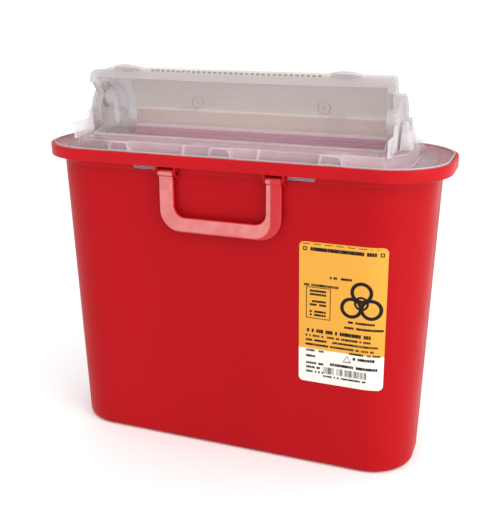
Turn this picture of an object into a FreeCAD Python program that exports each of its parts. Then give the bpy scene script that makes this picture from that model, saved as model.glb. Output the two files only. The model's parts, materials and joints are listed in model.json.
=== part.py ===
"""Sharps container: tapered tub, clip-on lid, rotary door, carry handle and label.

Millimetres. +X right, -Y front, +Z up; the origin is the middle of the tub's underside.
"""
import FreeCAD, Part
import math
import os

from FreeCAD import Vector

# ---- driving dimensions: tub ----
RIM_LENGTH = 305.0
RIM_WIDTH = 114.3
RIM_TOP = 231.0
RIM_CORNER = 45.7
RIM_BAND = 8.6              # height of the rim's outer skirt
RIM_OVERHANG_X = 9.2        # rim stands this far outside the wall at the ends
RIM_OVERHANG_Y = 5.85       # and at the front and back
LEAN_X = 5.8                # how far the end walls lean in on their way down
LEAN_Y = 10.6
TOP_CORNER = 43.2           # corner radius of the wall under the rim
BASE_CORNER = 33.5
WALL = 2.0
FLOOR = 2.6
BASE_EDGE = 4.0             # rounding between the walls and the underside
LIP_ROUNDING = 1.0          # rounding of the rim's top outer edge

# ---- driving dimensions: lid ----
LID_SHEET = 1.8
LIP = 2.2                   # red lip left showing outside the lid
SEAT_DEPTH = 2.6            # lid flange sits this far below the rim's top
FIT_GAP = 0.3               # clearance of the lid's skirt and hooks in the tub
SKIRT_DEPTH = 13.0
PLINTH_HEIGHT = 7.4         # deck above the rim's top
END_SHELF = 24.5            # flat lid shelf outside the plinth, at the ends
FRONT_SHELF = 7.15
PLINTH_CHAMFER_X = 14.0
PLINTH_CHAMFER_Y = 21.0
PLINTH_SLOPE_END = 3.0
PLINTH_SLOPE_SIDE = 0.8
BORDER_WIDTH = 1.2          # raised border along the lid's edge
BORDER_RISE = 0.7           # border above the rim's top
GUARD_GAP_X = 1.5           # hub end to the inside of the bearing posts
GUARD_LOW = 18.0            # top of the end guards above the rim's top
GUARD_HIGH = 25.0
GUARD_STEP = 17.0           # from the guards' front edge back to their step up
GUARD_SLOPE = 6.0           # length of that step
GUARD_CHAMFER = 1.0
GUARD_STAND = 0.6           # guards stand this far outside the door's lip
GUARD_TAIL = 8.0            # rear plates run out this far behind the rear guard
HUB_GAP = 0.5               # guards to the hubs
REAR_GUARD_GAP = 2.6        # drum to rear guard
HOOK_LENGTH = 20.0
HOOK_RECESS = 0.4           # hook tips behind the tub's outer face
HOOK_PLACE = 57.8           # middle of each snap hook from the centre line
SLOT_HEIGHT = 3.2
SLOT_TOP = 9.4              # top of each hook slot below the rim's top
CATCH_PLACE = 78.0
CATCH_TOP_WIDTH = 14.0
CATCH_FOOT_WIDTH = 18.0
CATCH_STAND = 3.0
CATCH_FRAME = 1.5           # width of the frame round each catch's pocket
GUSSET_PLACE = 27.65
GUSSET_SHEET = 1.6
GUSSET_FOOT = 4.4           # gusset's foot in front of the plinth's wall
GUSSET_TOP = 0.5
ROOT = 1.2                  # how far small features run into the wall that carries them

# ---- driving dimensions: rotary door ----
PIVOT_Y = -3.0
PIVOT_RISE = 21.5           # door axis above the rim's top
DRUM_INNER = 31.0
DOOR_SHEET = 1.8
TRAY_EDGE = 206.0           # degrees about the axis, from +Y towards +Z
ROOF_START = 95.0           # the drum turns into the flat roof here
LIP_REACH = 24.0            # front face of the lip, in front of the axis
LIP_LOW = 27.3              # lip's lower edge above the axis
LIP_BAND = 5.6
LIP_CORNER = 7.0
LIP_RETURN = 4.2            # lip's end returns reach this far below its lower edge
STRIP_STAND = 2.2           # side strips stand out this far from the end walls
DOOR_FLARE = 0.06           # end walls splay outwards towards the mouth
HUB_RADIUS = 21.0
HUB_DEPTH = 7.2
LIP_END_INSET = 2.0         # lip ends this far inside the hub faces
MOUTH_TOP = 3.0             # end walls' front edge: start below the lip
MOUTH_BEND = (15.5, 11.5)   # its first bend, in front of and above the axis
MOUTH_BACK = 9.0            # its upright stretch, in front of the axis
MOUTH_HIGH = 3.0            # from this far above the axis
MOUTH_LOW = 7.5             # to this far below it
PIN_RADIUS = 5.0
PIN_CLEARANCE = 0.08
DECK_GAP = 1.2              # deck opening around the drum and hubs
END_GAP = 0.8               # deck opening beyond the door's end walls
POST_DEPTH = 8.0
POST_TOP_DEPTH = 3.0
POST_FOOT_WIDTH = 12.4
POST_TOP_WIDTH = 6.8
POST_TAPER = 0.8            # posts narrow this much on each side towards the lid's end
POST_LEAN = 1.6
POST_ROUNDING = 1.2
CRADLE_SHEET = 2.6
CRADLE_RISE = 3.0           # cradle's top above the axis
POST_SPREAD = 10.4          # axis to the middle of each bearing post's top
POST_RISE = 4.0             # post tops above the axis
PIN_REACH = 1.0             # pins stand out past the cradles
STOP_PLACE = 60.0
STOP_LENGTH = 12.0
STOP_GAP = 0.3
STOP_TIP = 1.6              # thickness of the stop lugs at their tips
STOP_ROOT = 4.2             # and where they join the drum
TAB_PLACE = 80.5
TAB_HEAD = 21.6
TAB_NECK = 10.0
TAB_ROOT = 0.6              # how far the tabs run into the lip
TAB_NECK_LENGTH = 2.2
TAB_HEAD_LENGTH = 4.4
TAB_SHOULDER = 1.6          # straight edge of the heads before they curve
TAB_SHEET = 2.2
TAB_TILT = 141.0            # direction of the tabs about the axis
GRIP_PITCH = 4.0
GRIP_TOOTH = 1.9
GRIP_RISE = 1.3
GRIP_GAP = 4.0              # plain lip left between the grip and the tabs

# ---- driving dimensions: carry handle ----
HANDLE_LENGTH = 91.0
HANDLE_BAR = 11.2
HANDLE_SHEET = 3.2
HANDLE_DROP = 42.2          # axis to the underside of the grip bar
HANDLE_CORNER = 16.0
HANDLE_AXIS_DROP = 13.0     # axis below the rim's top
HANDLE_STAND = 3.2          # axis in front of the wall
KNUCKLE_RADIUS = 2.8
EAR_SHEET = 1.8
EAR_GAP = 0.4
EAR_FOOT = 3.0              # ears run down the wall below the knuckles
HANDLE_PIN_RADIUS = 1.7
HANDLE_PIN_CLEARANCE = 0.06

# ---- driving dimensions: label ----
LABEL_LEFT = 56.8
LABEL_WIDTH = 61.2
LABEL_LOW = 69.8
LABEL_HEIGHT = 107.2
LABEL_CORNER = 3.5
LABEL_SHEET = 0.25

# ---- places worked out from the driving dimensions ----
RIM_HALF_X = RIM_LENGTH / 2
RIM_HALF_Y = RIM_WIDTH / 2
RIM_FOOT = RIM_TOP - RIM_BAND
WALL_HALF_X = RIM_HALF_X - RIM_OVERHANG_X
WALL_HALF_Y = RIM_HALF_Y - RIM_OVERHANG_Y
SEAT_Z = RIM_TOP - SEAT_DEPTH
SHELF_Z = SEAT_Z + LID_SHEET
DECK_Z = RIM_TOP + PLINTH_HEIGHT
PLINTH_X = RIM_HALF_X - END_SHELF
PLINTH_Y = RIM_HALF_Y - FRONT_SHELF
PIVOT_Z = RIM_TOP + PIVOT_RISE
DRUM_OUTER = DRUM_INNER + DOOR_SHEET
HUB_END = PLINTH_X - POST_DEPTH - GUARD_GAP_X - PLINTH_SLOPE_END
LIP_END = HUB_END - LIP_END_INSET
DOOR_END = HUB_END - HUB_DEPTH            # outside of the end walls, at the axis
GUARD_X = LIP_END + GUARD_STAND
PIVOT = Vector(0, PIVOT_Y, PIVOT_Z)
SLOT_HIGH_Z = RIM_TOP - SLOT_TOP
SLOT_LOW_Z = SLOT_HIGH_Z - SLOT_HEIGHT
HANDLE_Z = RIM_TOP - HANDLE_AXIS_DROP
X_AXIS = Vector(1, 0, 0)
TINY = 0.01
OVERRUN = 1.0               # cutters run this far past what they cut


def box(x0, x1, y0, y1, z0, z1):
    """Box between two corners."""
    return Part.makeBox(x1 - x0, y1 - y0, z1 - z0, Vector(x0, y0, z0))


def rounded_outline(half_x, half_y, corner, z):
    """Closed rounded rectangle at height z."""
    cx = half_x - corner
    cy = half_y - corner
    edges = []
    for sx, sy, start in ((1, 1, 0), (-1, 1, 90), (-1, -1, 180), (1, -1, 270)):
        centre = Vector(sx * cx, sy * cy, z)
        edges.append(Part.makeCircle(corner, centre, Vector(0, 0, 1), start, start + 90))
    loop = []
    for index, edge in enumerate(edges):
        following = edges[(index + 1) % 4]
        loop.append(edge)
        loop.append(Part.makeLine(edge.Vertexes[1].Point, following.Vertexes[0].Point))
    return Part.Wire(loop)


def rounded_block(half_x, half_y, corner, z0, z1):
    """Upright block with rounded corners."""
    face = Part.Face(rounded_outline(half_x, half_y, corner, z0))
    return face.extrude(Vector(0, 0, z1 - z0))


def wall_size(z, offset):
    """Half length, half width and corner radius of the leaning wall at height z."""
    share = 1 - z / RIM_FOOT
    half_x = WALL_HALF_X - LEAN_X * share + offset
    half_y = WALL_HALF_Y - LEAN_Y * share + offset
    corner = TOP_CORNER - (TOP_CORNER - BASE_CORNER) * share + offset
    return half_x, half_y, corner


def wall_block(z0, z1, offset):
    """Solid inside the leaning wall, moved out by offset, from z0 to z1."""
    low = rounded_outline(*wall_size(z0, offset), z0)
    high = rounded_outline(*wall_size(z1, offset), z1)
    return Part.makeLoft([low, high], True, True)


def front_y(z):
    """Outer face of the front wall at height z."""
    return -wall_size(z, 0)[1]


def prism(points, x0, x1):
    """Outline of (y, z) points carried along X from x0 to x1."""
    loop = [Vector(x0, y, z) for y, z in points]
    face = Part.Face(Part.makePolygon(loop + loop[:1]))
    return face.extrude(Vector(x1 - x0, 0, 0))


def plan_loft(outlines):
    """Loft through closed (x, y, z) outlines."""
    wires = []
    for points in outlines:
        loop = [Vector(*point) for point in points]
        wires.append(Part.makePolygon(loop + loop[:1]))
    return Part.makeLoft(wires, True, True)


def trapezoid_block(half_at_axis, flare, y0, y1, z0, z1):
    """Block whose ends splay outwards towards the front, by flare for each millimetre."""
    def half(y):
        return half_at_axis + (PIVOT_Y - y) * flare
    points = [(half(y1), y1), (half(y0), y0), (-half(y0), y0), (-half(y1), y1)]
    loop = [Vector(x, y, z0) for x, y in points]
    return Part.Face(Part.makePolygon(loop + loop[:1])).extrude(Vector(0, 0, z1 - z0))


def tube_x(radius, x0, x1, y, z):
    """Cylinder along X."""
    return Part.makeCylinder(radius, x1 - x0, Vector(x0, y, z), X_AXIS)


def edges_along_y(shape):
    """Edges of a block that run front to back."""
    return [edge for edge in shape.Edges if edge.BoundBox.YLength > 1 and edge.BoundBox.XLength < 1
            and edge.BoundBox.ZLength < 1]


def both_ends(shape):
    """The shape with its mirror image across the YZ plane."""
    return [shape, shape.mirror(Vector(0, 0, 0), X_AXIS)]


def at_angle(radius, degrees):
    """(y, z) of a point about the door's axis."""
    angle = math.radians(degrees)
    return PIVOT_Y + radius * math.cos(angle), PIVOT_Z + radius * math.sin(angle)


# ---- tub ----

def slot_boxes(grow):
    """Four hook slots through the long walls, shrunk by grow on every side."""
    half = HOOK_LENGTH / 2 + grow
    reach = RIM_HALF_Y
    boxes = []
    for place in (-HOOK_PLACE, HOOK_PLACE):
        boxes.append(box(place - half, place + half, -reach, reach, SLOT_LOW_Z - grow, SLOT_HIGH_Z + grow))
    return boxes


def handle_ears():
    """Four ears under the rim that hold the handle's pins."""
    axis_y = front_y(HANDLE_Z) - HANDLE_STAND
    tip = axis_y - KNUCKLE_RADIUS
    top = RIM_TOP - SEAT_DEPTH - WALL
    ears = []
    arm = HANDLE_LENGTH / 2
    for inner in (arm - HANDLE_BAR - EAR_GAP - EAR_SHEET, arm + EAR_GAP):
        low = HANDLE_Z - KNUCKLE_RADIUS
        back = front_y(low) + WALL / 2
        outline = [(back, low - EAR_FOOT), (axis_y, low), (tip, HANDLE_Z), (tip, top), (back, top)]
        ear = prism(outline, inner, inner + EAR_SHEET)
        hole = tube_x(HANDLE_PIN_RADIUS + HANDLE_PIN_CLEARANCE, inner, inner + EAR_SHEET, axis_y, HANDLE_Z)
        ears += both_ends(ear.cut(hole))
    return ears


def make_rim():
    """Turned-over rim of the tub: neck, seat for the lid, lip and outer skirt."""
    rim = rounded_block(RIM_HALF_X, RIM_HALF_Y, RIM_CORNER, RIM_FOOT, RIM_TOP)
    rim_edges = [edge for edge in rim.Edges if edge.BoundBox.ZMin > RIM_TOP - TINY]
    rim = rim.makeFillet(LIP_ROUNDING, rim_edges)
    channel = rounded_block(RIM_HALF_X - WALL, RIM_HALF_Y - WALL, RIM_CORNER - WALL,
                            RIM_FOOT, SEAT_Z - WALL)
    rim = rim.cut(channel.cut(wall_block(RIM_FOOT, RIM_TOP, 0)))
    seat = rounded_block(RIM_HALF_X - LIP, RIM_HALF_Y - LIP, RIM_CORNER - LIP, SEAT_Z, RIM_TOP)
    return rim.cut([seat, wall_block(RIM_FOOT, RIM_TOP, -WALL)]).removeSplitter()


def make_tub():
    """Tapered tub up to the rim's foot, with hook slots and handle ears."""
    body = wall_block(0, RIM_FOOT, 0)
    foot_edges = [edge for edge in body.Edges if edge.BoundBox.ZMax < TINY]
    body = body.makeFillet(BASE_EDGE, foot_edges)
    cavity = wall_block(FLOOR, RIM_FOOT, -WALL)
    floor_edges = [edge for edge in cavity.Edges if edge.BoundBox.ZMax < FLOOR + TINY]
    cavity = cavity.makeFillet(BASE_EDGE - WALL / 2, floor_edges)
    ears = [ear.cut(make_rim()) for ear in handle_ears()]
    tub = body.cut(cavity).fuse(ears)
    return tub.cut(slot_boxes(0)).removeSplitter()


# ---- lid ----

def plinth_outline(inset, z, slope):
    """Eight-sided plan of the plinth at height z."""
    end = PLINTH_X - inset - slope * PLINTH_SLOPE_END
    side = PLINTH_Y - inset - slope * PLINTH_SLOPE_SIDE
    cut_x = end - PLINTH_CHAMFER_X
    cut_y = side - PLINTH_CHAMFER_Y
    corners = [(end, cut_y), (cut_x, side), (-cut_x, side), (-end, cut_y),
               (-end, -cut_y), (-cut_x, -side), (cut_x, -side), (end, -cut_y)]
    return [(x, y, z) for x, y in corners]


def deck_opening():
    """Space that the drum and its hubs need through the deck."""
    low = SEAT_Z - SKIRT_DEPTH
    drop = PIVOT_Z - (DECK_Z - LID_SHEET)
    hub_half = math.sqrt(HUB_RADIUS ** 2 - (PIVOT_Z - DECK_Z) ** 2) + DECK_GAP
    drum_half = math.sqrt(DRUM_OUTER ** 2 - (PIVOT_Z - DECK_Z) ** 2) + DECK_GAP
    mouth = trapezoid_block(DOOR_END + END_GAP + DRUM_OUTER * DOOR_FLARE / 2, DOOR_FLARE / 2,
                            PIVOT_Y - drum_half, PIVOT_Y + drum_half, low, DECK_Z + drop)
    reach = HUB_END + END_GAP
    hubs = box(-reach, reach, PIVOT_Y - hub_half, PIVOT_Y + hub_half, low, DECK_Z + drop)
    return mouth.fuse(hubs)


def end_guards():
    """Upright end plates beside the door's mouth and behind it."""
    x0 = GUARD_X
    x1 = GUARD_X + LID_SHEET
    low = DECK_Z - LID_SHEET / 2
    front = -PLINTH_Y + PLINTH_SLOPE_SIDE
    step = front + GUARD_STEP
    near = PIVOT_Y - HUB_RADIUS - HUB_GAP
    guard_low = RIM_TOP + GUARD_LOW
    guard_high = RIM_TOP + GUARD_HIGH
    outline = [(front, low), (front, guard_low), (step, guard_low),
               (step + GUARD_SLOPE / 2, guard_high - GUARD_CHAMFER), (step + GUARD_SLOPE, guard_high),
               (near, guard_high), (near, low)]
    front_plate = prism(outline, x0, x1)
    rear_near = PIVOT_Y + HUB_RADIUS + HUB_GAP
    rear_far = PIVOT_Y + DRUM_OUTER + REAR_GUARD_GAP
    rear_top = guard_low + REAR_GUARD_GAP
    outline = [(rear_near, low), (rear_near, rear_top), (rear_near + GUARD_SLOPE, rear_top),
               (rear_far + LID_SHEET + GUARD_TAIL, low)]
    rear_plate = prism(outline, x0, x1)
    rear_wall = box(-x1, x1, rear_far, rear_far + LID_SHEET, low, RIM_TOP + GUARD_LOW)
    return both_ends(front_plate) + both_ends(rear_plate) + [rear_wall]


def bearing_posts():
    """Tapered posts and the open cradle between them, at each end of the door."""
    x0 = HUB_END + GUARD_GAP_X
    x_top = x0 + POST_TOP_DEPTH
    x_foot = x0 + POST_DEPTH
    foot = POST_FOOT_WIDTH / 2
    top = POST_TOP_WIDTH / 2
    low = DECK_Z - LID_SHEET / 2
    high = PIVOT_Z + POST_RISE
    pieces = []
    for side in (-1, 1):
        foot_y = PIVOT_Y + side * (POST_SPREAD + POST_LEAN)
        top_y = PIVOT_Y + side * POST_SPREAD
        post = plan_loft([
            [(x0, foot_y - foot, low), (x_foot, foot_y - foot + POST_TAPER, low),
             (x_foot, foot_y + foot - POST_TAPER, low), (x0, foot_y + foot, low)],
            [(x0, top_y - top, high), (x_top, top_y - top + POST_TAPER, high),
             (x_top, top_y + top - POST_TAPER, high), (x0, top_y + top, high)],
        ])
        crown = [edge for edge in post.Edges if edge.BoundBox.ZMin > high - TINY]
        pieces.append(post.makeFillet(POST_ROUNDING, crown))
    neck_z = PIVOT_Z + CRADLE_RISE
    web = box(x0, x0 + CRADLE_SHEET, PIVOT_Y - POST_SPREAD, PIVOT_Y + POST_SPREAD, low, neck_z)
    bore = PIN_RADIUS + PIN_CLEARANCE
    neck_half = math.sqrt(bore ** 2 - CRADLE_RISE ** 2)
    near = x0 - OVERRUN
    far = x_foot + OVERRUN
    mouth = box(near, far, PIVOT_Y - neck_half, PIVOT_Y + neck_half, neck_z - TINY, high + OVERRUN)
    bearing = pieces[0].fuse([pieces[1], web])
    return both_ends(bearing.cut([tube_x(bore, near, far, PIVOT_Y, PIVOT_Z), mouth]))


def catch_outline(place, inset):
    """Trapezoid of a lock catch in front of the plinth's wall, drawn in by inset."""
    top = CATCH_TOP_WIDTH / 2 - inset
    foot = CATCH_FOOT_WIDTH / 2 - inset
    y = -PLINTH_Y - CATCH_STAND
    low = SHELF_Z - TINY + inset
    high = DECK_Z - inset
    return [Vector(place - foot, y, low), Vector(place + foot, y, low), Vector(place + top, y, high),
            Vector(place - top, y, high)]


def catch_frame(place):
    """Lock catch: a block on the plinth's wall, and the pocket that its tab snaps into."""
    shapes = []
    for inset, depth in ((0, CATCH_STAND + ROOT), (CATCH_FRAME, CATCH_STAND)):
        loop = catch_outline(place, inset)
        face = Part.Face(Part.makePolygon(loop + loop[:1]))
        shapes.append(face.extrude(Vector(0, depth, 0)))
    return shapes


def gusset(place):
    """Small triangular rib that props the plinth's front wall."""
    wall_y = -PLINTH_Y
    low = SHELF_Z - TINY
    high = DECK_Z - GUSSET_TOP
    outline = [(wall_y + ROOT, low), (wall_y - GUSSET_FOOT, low), (wall_y - GUSSET_TOP, high),
               (wall_y + ROOT, high)]
    return prism(outline, place - GUSSET_SHEET / 2, place + GUSSET_SHEET / 2)


def snap_hooks():
    """Four hooks on the skirt that spring out into the tub's slots."""
    reach = wall_block(SLOT_LOW_Z, SLOT_HIGH_Z, -HOOK_RECESS)
    core = wall_block(SEAT_Z - SKIRT_DEPTH, SEAT_Z, -WALL - FIT_GAP - LID_SHEET)
    return [slot.common(reach).cut(core) for slot in slot_boxes(-FIT_GAP)]


def make_lid():
    """Clip-on lid: flange, border, skirt with hooks, raised deck, guards, bearings and catches."""
    gap = LIP + FIT_GAP
    flange = rounded_block(RIM_HALF_X - gap, RIM_HALF_Y - gap, RIM_CORNER - gap, SEAT_Z, SHELF_Z)
    inside = WALL + FIT_GAP
    skirt = wall_block(SEAT_Z - SKIRT_DEPTH, SEAT_Z, -inside)
    core = wall_block(SEAT_Z - SKIRT_DEPTH, SEAT_Z, -inside - LID_SHEET)
    skirt = skirt.cut(core)
    plinth = plan_loft([plinth_outline(0, SHELF_Z - TINY, 0), plinth_outline(0, DECK_Z, 1)])
    hollow = plan_loft([plinth_outline(LID_SHEET, SEAT_Z - TINY, 0),
                        plinth_outline(LID_SHEET, DECK_Z - LID_SHEET, 1)])
    frames = []
    pockets = []
    for place in (-CATCH_PLACE, 0, CATCH_PLACE):
        frame, pocket = catch_frame(place)
        frames.append(frame)
        pockets.append(pocket)
    gussets = [gusset(place) for place in (-GUSSET_PLACE, GUSSET_PLACE)]
    inset = gap + BORDER_WIDTH
    border = rounded_block(RIM_HALF_X - gap, RIM_HALF_Y - gap, RIM_CORNER - gap, SEAT_Z, RIM_TOP + BORDER_RISE)
    border = border.cut(rounded_block(RIM_HALF_X - inset, RIM_HALF_Y - inset, RIM_CORNER - inset, SHELF_Z,
                                      RIM_TOP + BORDER_RISE))
    lid = flange.fuse([border, skirt, plinth] + frames + gussets + snap_hooks())
    lid = lid.cut([hollow, deck_opening()] + pockets)
    lid = lid.fuse(end_guards() + bearing_posts())
    return lid.removeSplitter()


# ---- rotary door ----

def door_section(mouth):
    """Face in the YZ plane: the drum's arc, the flat roof to the lip, and the mouth's points."""
    high = at_angle(DRUM_OUTER, ROOF_START)
    low = at_angle(DRUM_OUTER, TRAY_EDGE - 360)
    middle = at_angle(DRUM_OUTER, (ROOF_START + TRAY_EDGE - 360) / 2)
    arc = Part.Arc(Vector(0, *low), Vector(0, *middle), Vector(0, *high)).toShape()
    roof_end = (PIVOT_Y - LIP_REACH, PIVOT_Z + LIP_LOW + DOOR_SHEET)
    points = [Vector(0, y, z) for y, z in [high, roof_end] + mouth + [low]]
    edges = [arc] + [Part.makeLine(a, b) for a, b in zip(points, points[1:])]
    return Part.Face(Part.Wire(edges))


def mouth_line():
    """Front edge of the end walls, from the lip down to the tray."""
    y_tray, z_tray = at_angle(DRUM_INNER, TRAY_EDGE)
    bend_y, bend_z = MOUTH_BEND
    back_y = PIVOT_Y - MOUTH_BACK
    return [(PIVOT_Y - LIP_REACH, PIVOT_Z + LIP_LOW - MOUTH_TOP), (PIVOT_Y - bend_y, PIVOT_Z + bend_z),
            (back_y, PIVOT_Z + MOUTH_HIGH), (back_y, PIVOT_Z - MOUTH_LOW), (y_tray, z_tray + OVERRUN)]


def lip_frame():
    """Flanged lip across the roof's front, with rounded corners and short end returns."""
    front = PIVOT_Y - LIP_REACH
    low = PIVOT_Z + LIP_LOW
    high = low + LIP_BAND
    foot = low - LIP_RETURN
    half = LIP_END
    inner = DOOR_END + LIP_REACH * DOOR_FLARE
    slab = box(-half, half, front, front + DOOR_SHEET, foot, high)
    corners = [edge for edge in edges_along_y(slab) if edge.BoundBox.ZMin > high - TINY]
    slab = slab.makeFillet(LIP_CORNER, corners)
    mouth = box(-inner + DOOR_SHEET, inner - DOOR_SHEET, front - OVERRUN, front + DOOR_SHEET + OVERRUN,
                foot - OVERRUN, low)
    return slab.cut(mouth)


def side_strips():
    """Narrow flange that follows the front edge of each end wall."""
    inner = DOOR_END - DOOR_SHEET / 2
    points = mouth_line()[:3]
    back = [(y + DOOR_SHEET, z) for y, z in reversed(points)]
    strip = prism(points + back, inner, LIP_END)
    reach = DRUM_OUTER + LIP_BAND
    span = (PIVOT_Y - reach, PIVOT_Y + reach, PIVOT_Z - reach, PIVOT_Z + reach)
    keep = trapezoid_block(DOOR_END + STRIP_STAND, DOOR_FLARE, *span)
    room = trapezoid_block(DOOR_END - DOOR_SHEET, DOOR_FLARE, *span)
    return both_ends(strip.common(keep).cut(room))


def grip_teeth():
    """Fine ribs along the lip's top, to turn the door with a fingertip."""
    front = PIVOT_Y - LIP_REACH
    top = PIVOT_Z + LIP_LOW + LIP_BAND
    span = TAB_PLACE - TAB_HEAD / 2 - GRIP_GAP
    count = int(2 * span // GRIP_PITCH)
    start = -(count - 1) * GRIP_PITCH / 2
    teeth = []
    for index in range(count):
        x = start + index * GRIP_PITCH
        teeth.append(box(x - GRIP_TOOTH / 2, x + GRIP_TOOTH / 2, front, front + DOOR_SHEET, top - GRIP_RISE,
                         top + GRIP_RISE))
    return teeth


def lock_tabs():
    """Mushroom-headed tabs on the lip that snap into the lid's catches."""
    angle = math.radians(TAB_TILT)
    along = Vector(0, math.cos(angle), math.sin(angle))
    normal = Vector(0, -along.z, along.y)
    root = Vector(0, PIVOT_Y - LIP_REACH + DOOR_SHEET / 2, PIVOT_Z + LIP_LOW + LIP_BAND - TAB_ROOT)
    neck_end = TAB_ROOT + TAB_NECK_LENGTH
    shoulder = neck_end + TAB_SHOULDER
    head_end = neck_end + TAB_HEAD_LENGTH
    half = TAB_HEAD / 2
    neck = TAB_NECK / 2

    def spot(x, reach):
        return root + Vector(x, 0, 0) + along * reach
    outline = [spot(-neck, 0), spot(-neck, neck_end), spot(-half, neck_end), spot(-half, shoulder)]
    crown = Part.Arc(spot(-half, shoulder), spot(0, head_end), spot(half, shoulder)).toShape()
    rest = [spot(half, shoulder), spot(half, neck_end), spot(neck, neck_end), spot(neck, 0), spot(-neck, 0)]
    edges = [Part.makeLine(a, b) for a, b in zip(outline, outline[1:])] + [crown]
    edges += [Part.makeLine(a, b) for a, b in zip(rest, rest[1:])]
    tab = Part.Face(Part.Wire(edges)).extrude(normal * TAB_SHEET)
    tab.translate(normal * (-TAB_SHEET / 2))
    tabs = []
    for place in (-TAB_PLACE, TAB_PLACE):
        copy = tab.copy()
        copy.translate(Vector(place, 0, 0))
        tabs.append(copy)
    return tabs


def stop_lugs():
    """Lugs on the drum's back that rest on the rear guard when the door stands open."""
    low = RIM_TOP + GUARD_LOW + STOP_GAP
    y0 = PIVOT_Y + DRUM_OUTER - DOOR_SHEET / 2
    y1 = PIVOT_Y + DRUM_OUTER + REAR_GUARD_GAP + LID_SHEET
    outline = [(y0, low), (y1, low), (y1, low + STOP_TIP), (y0, low + STOP_ROOT)]
    lugs = []
    for place in (-STOP_PLACE, STOP_PLACE):
        lugs.append(prism(outline, place - STOP_LENGTH / 2, place + STOP_LENGTH / 2))
    return lugs


def hubs():
    """Round hub cups on the end walls, the cutters that hollow them, and their pivot pins."""
    x0 = DOOR_END - DOOR_SHEET
    cup = tube_x(HUB_RADIUS, x0, HUB_END, PIVOT_Y, PIVOT_Z)
    recess = tube_x(HUB_RADIUS - DOOR_SHEET, x0 - HUB_DEPTH, HUB_END - DOOR_SHEET, PIVOT_Y, PIVOT_Z)
    pin_end = HUB_END + GUARD_GAP_X + CRADLE_SHEET + PIN_REACH
    pin = tube_x(PIN_RADIUS, HUB_END - DOOR_SHEET, pin_end, PIVOT_Y, PIVOT_Z)
    return both_ends(cup), both_ends(recess), both_ends(pin)


def make_door():
    """Rotary door: drum, tray, splayed end walls with hubs, lip, grip, tabs and stop lugs."""
    half = RIM_HALF_X
    front = PIVOT_Y - LIP_REACH
    rear = PIVOT_Y + DRUM_OUTER
    z0 = PIVOT_Z - DRUM_OUTER - OVERRUN
    z1 = PIVOT_Z + DRUM_OUTER + LIP_BAND
    outer_ends = trapezoid_block(DOOR_END, DOOR_FLARE, PIVOT_Y - DRUM_OUTER, rear, z0, z1)
    inner_ends = trapezoid_block(DOOR_END - DOOR_SHEET, DOOR_FLARE, PIVOT_Y - DRUM_OUTER - OVERRUN, rear, z0, z1)
    section = door_section(mouth_line())
    section.translate(Vector(-half, 0, 0))
    body = section.extrude(Vector(2 * half, 0, 0)).common(outer_ends)
    past_front = front - LIP_REACH
    roof_z = PIVOT_Z + LIP_LOW
    roof_room = [(PIVOT_Y, PIVOT_Z), at_angle(DRUM_INNER, ROOF_START), (front + 2 * DOOR_SHEET, roof_z),
                 (past_front, roof_z), (past_front, PIVOT_Z)]
    hollow = tube_x(DRUM_INNER, -half, half, PIVOT_Y, PIVOT_Z)
    hollow = hollow.fuse(prism(roof_room, -half, half)).common(inner_ends)
    cups, recesses, pins = hubs()
    shell = body.fuse(cups).cut([hollow] + recesses)
    extras = [lip_frame()] + side_strips() + grip_teeth() + lock_tabs() + stop_lugs() + pins
    return shell.fuse(extras).removeSplitter()


# ---- carry handle ----

def make_handle():
    """U-shaped carry handle that hangs from two knuckles under the rim."""
    axis_y = front_y(HANDLE_Z) - HANDLE_STAND
    half = HANDLE_LENGTH / 2
    foot = HANDLE_Z - HANDLE_DROP
    y0 = axis_y - HANDLE_SHEET / 2
    outer = box(-half, half, y0, y0 + HANDLE_SHEET, foot, HANDLE_Z)
    corners = [edge for edge in edges_along_y(outer) if edge.BoundBox.ZMax < foot + TINY]
    outer = outer.makeFillet(HANDLE_CORNER, corners)
    inner = box(-half + HANDLE_BAR, half - HANDLE_BAR, y0 - OVERRUN, y0 + HANDLE_SHEET + OVERRUN,
                foot + HANDLE_BAR, HANDLE_Z + OVERRUN)
    corners = [edge for edge in edges_along_y(inner) if edge.BoundBox.ZMax < foot + HANDLE_BAR + TINY]
    inner = inner.makeFillet(HANDLE_CORNER / 2, corners)
    bail = outer.cut(inner)
    knuckle = tube_x(KNUCKLE_RADIUS, half - HANDLE_BAR, half, axis_y, HANDLE_Z)
    reach = EAR_GAP + EAR_SHEET
    pin = tube_x(HANDLE_PIN_RADIUS, half - HANDLE_BAR - reach, half + reach, axis_y, HANDLE_Z)
    return bail.fuse(both_ends(knuckle) + both_ends(pin)).removeSplitter()


# ---- label ----

def make_label():
    """Thin rounded label that follows the front wall and its corner."""
    low = LABEL_LOW - OVERRUN
    high = LABEL_LOW + LABEL_HEIGHT + OVERRUN
    skin = wall_block(low, high, LABEL_SHEET).cut(wall_block(low, high, 0))
    plate = box(LABEL_LEFT, LABEL_LEFT + LABEL_WIDTH, -RIM_HALF_Y, 0, LABEL_LOW, LABEL_LOW + LABEL_HEIGHT)
    return skin.common(plate.makeFillet(LABEL_CORNER, edges_along_y(plate)))


PARTS = {
    "tub": make_tub,
    "tub_rim": make_rim,
    "lid_cover": make_lid,
    "rotary_door": make_door,
    "carry_handle": make_handle,
    "front_label": make_label,
}


def main():
    """Write one STEP file for each piece."""
    os.makedirs("parts", exist_ok=True)
    for name, make in PARTS.items():
        shape = make()
        print(name, len(shape.Solids), "solid(s)", round(shape.Volume), "mm3", shape.isValid())
        shape.exportStep("parts/" + name + ".step")


main()
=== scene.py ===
"""Sharps container: red tub, hazy clear lid, rotary door, carry handle and printed label.

Metres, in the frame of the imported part: +X right, -Y front, +Z up, standing on z = 0.
"""

import json
import math

import bmesh
import bpy
from bpy.props import FloatProperty, FloatVectorProperty, IntProperty, PointerProperty
from bpy.types import Operator, Panel, PropertyGroup
from mathutils import Matrix, Vector


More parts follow.
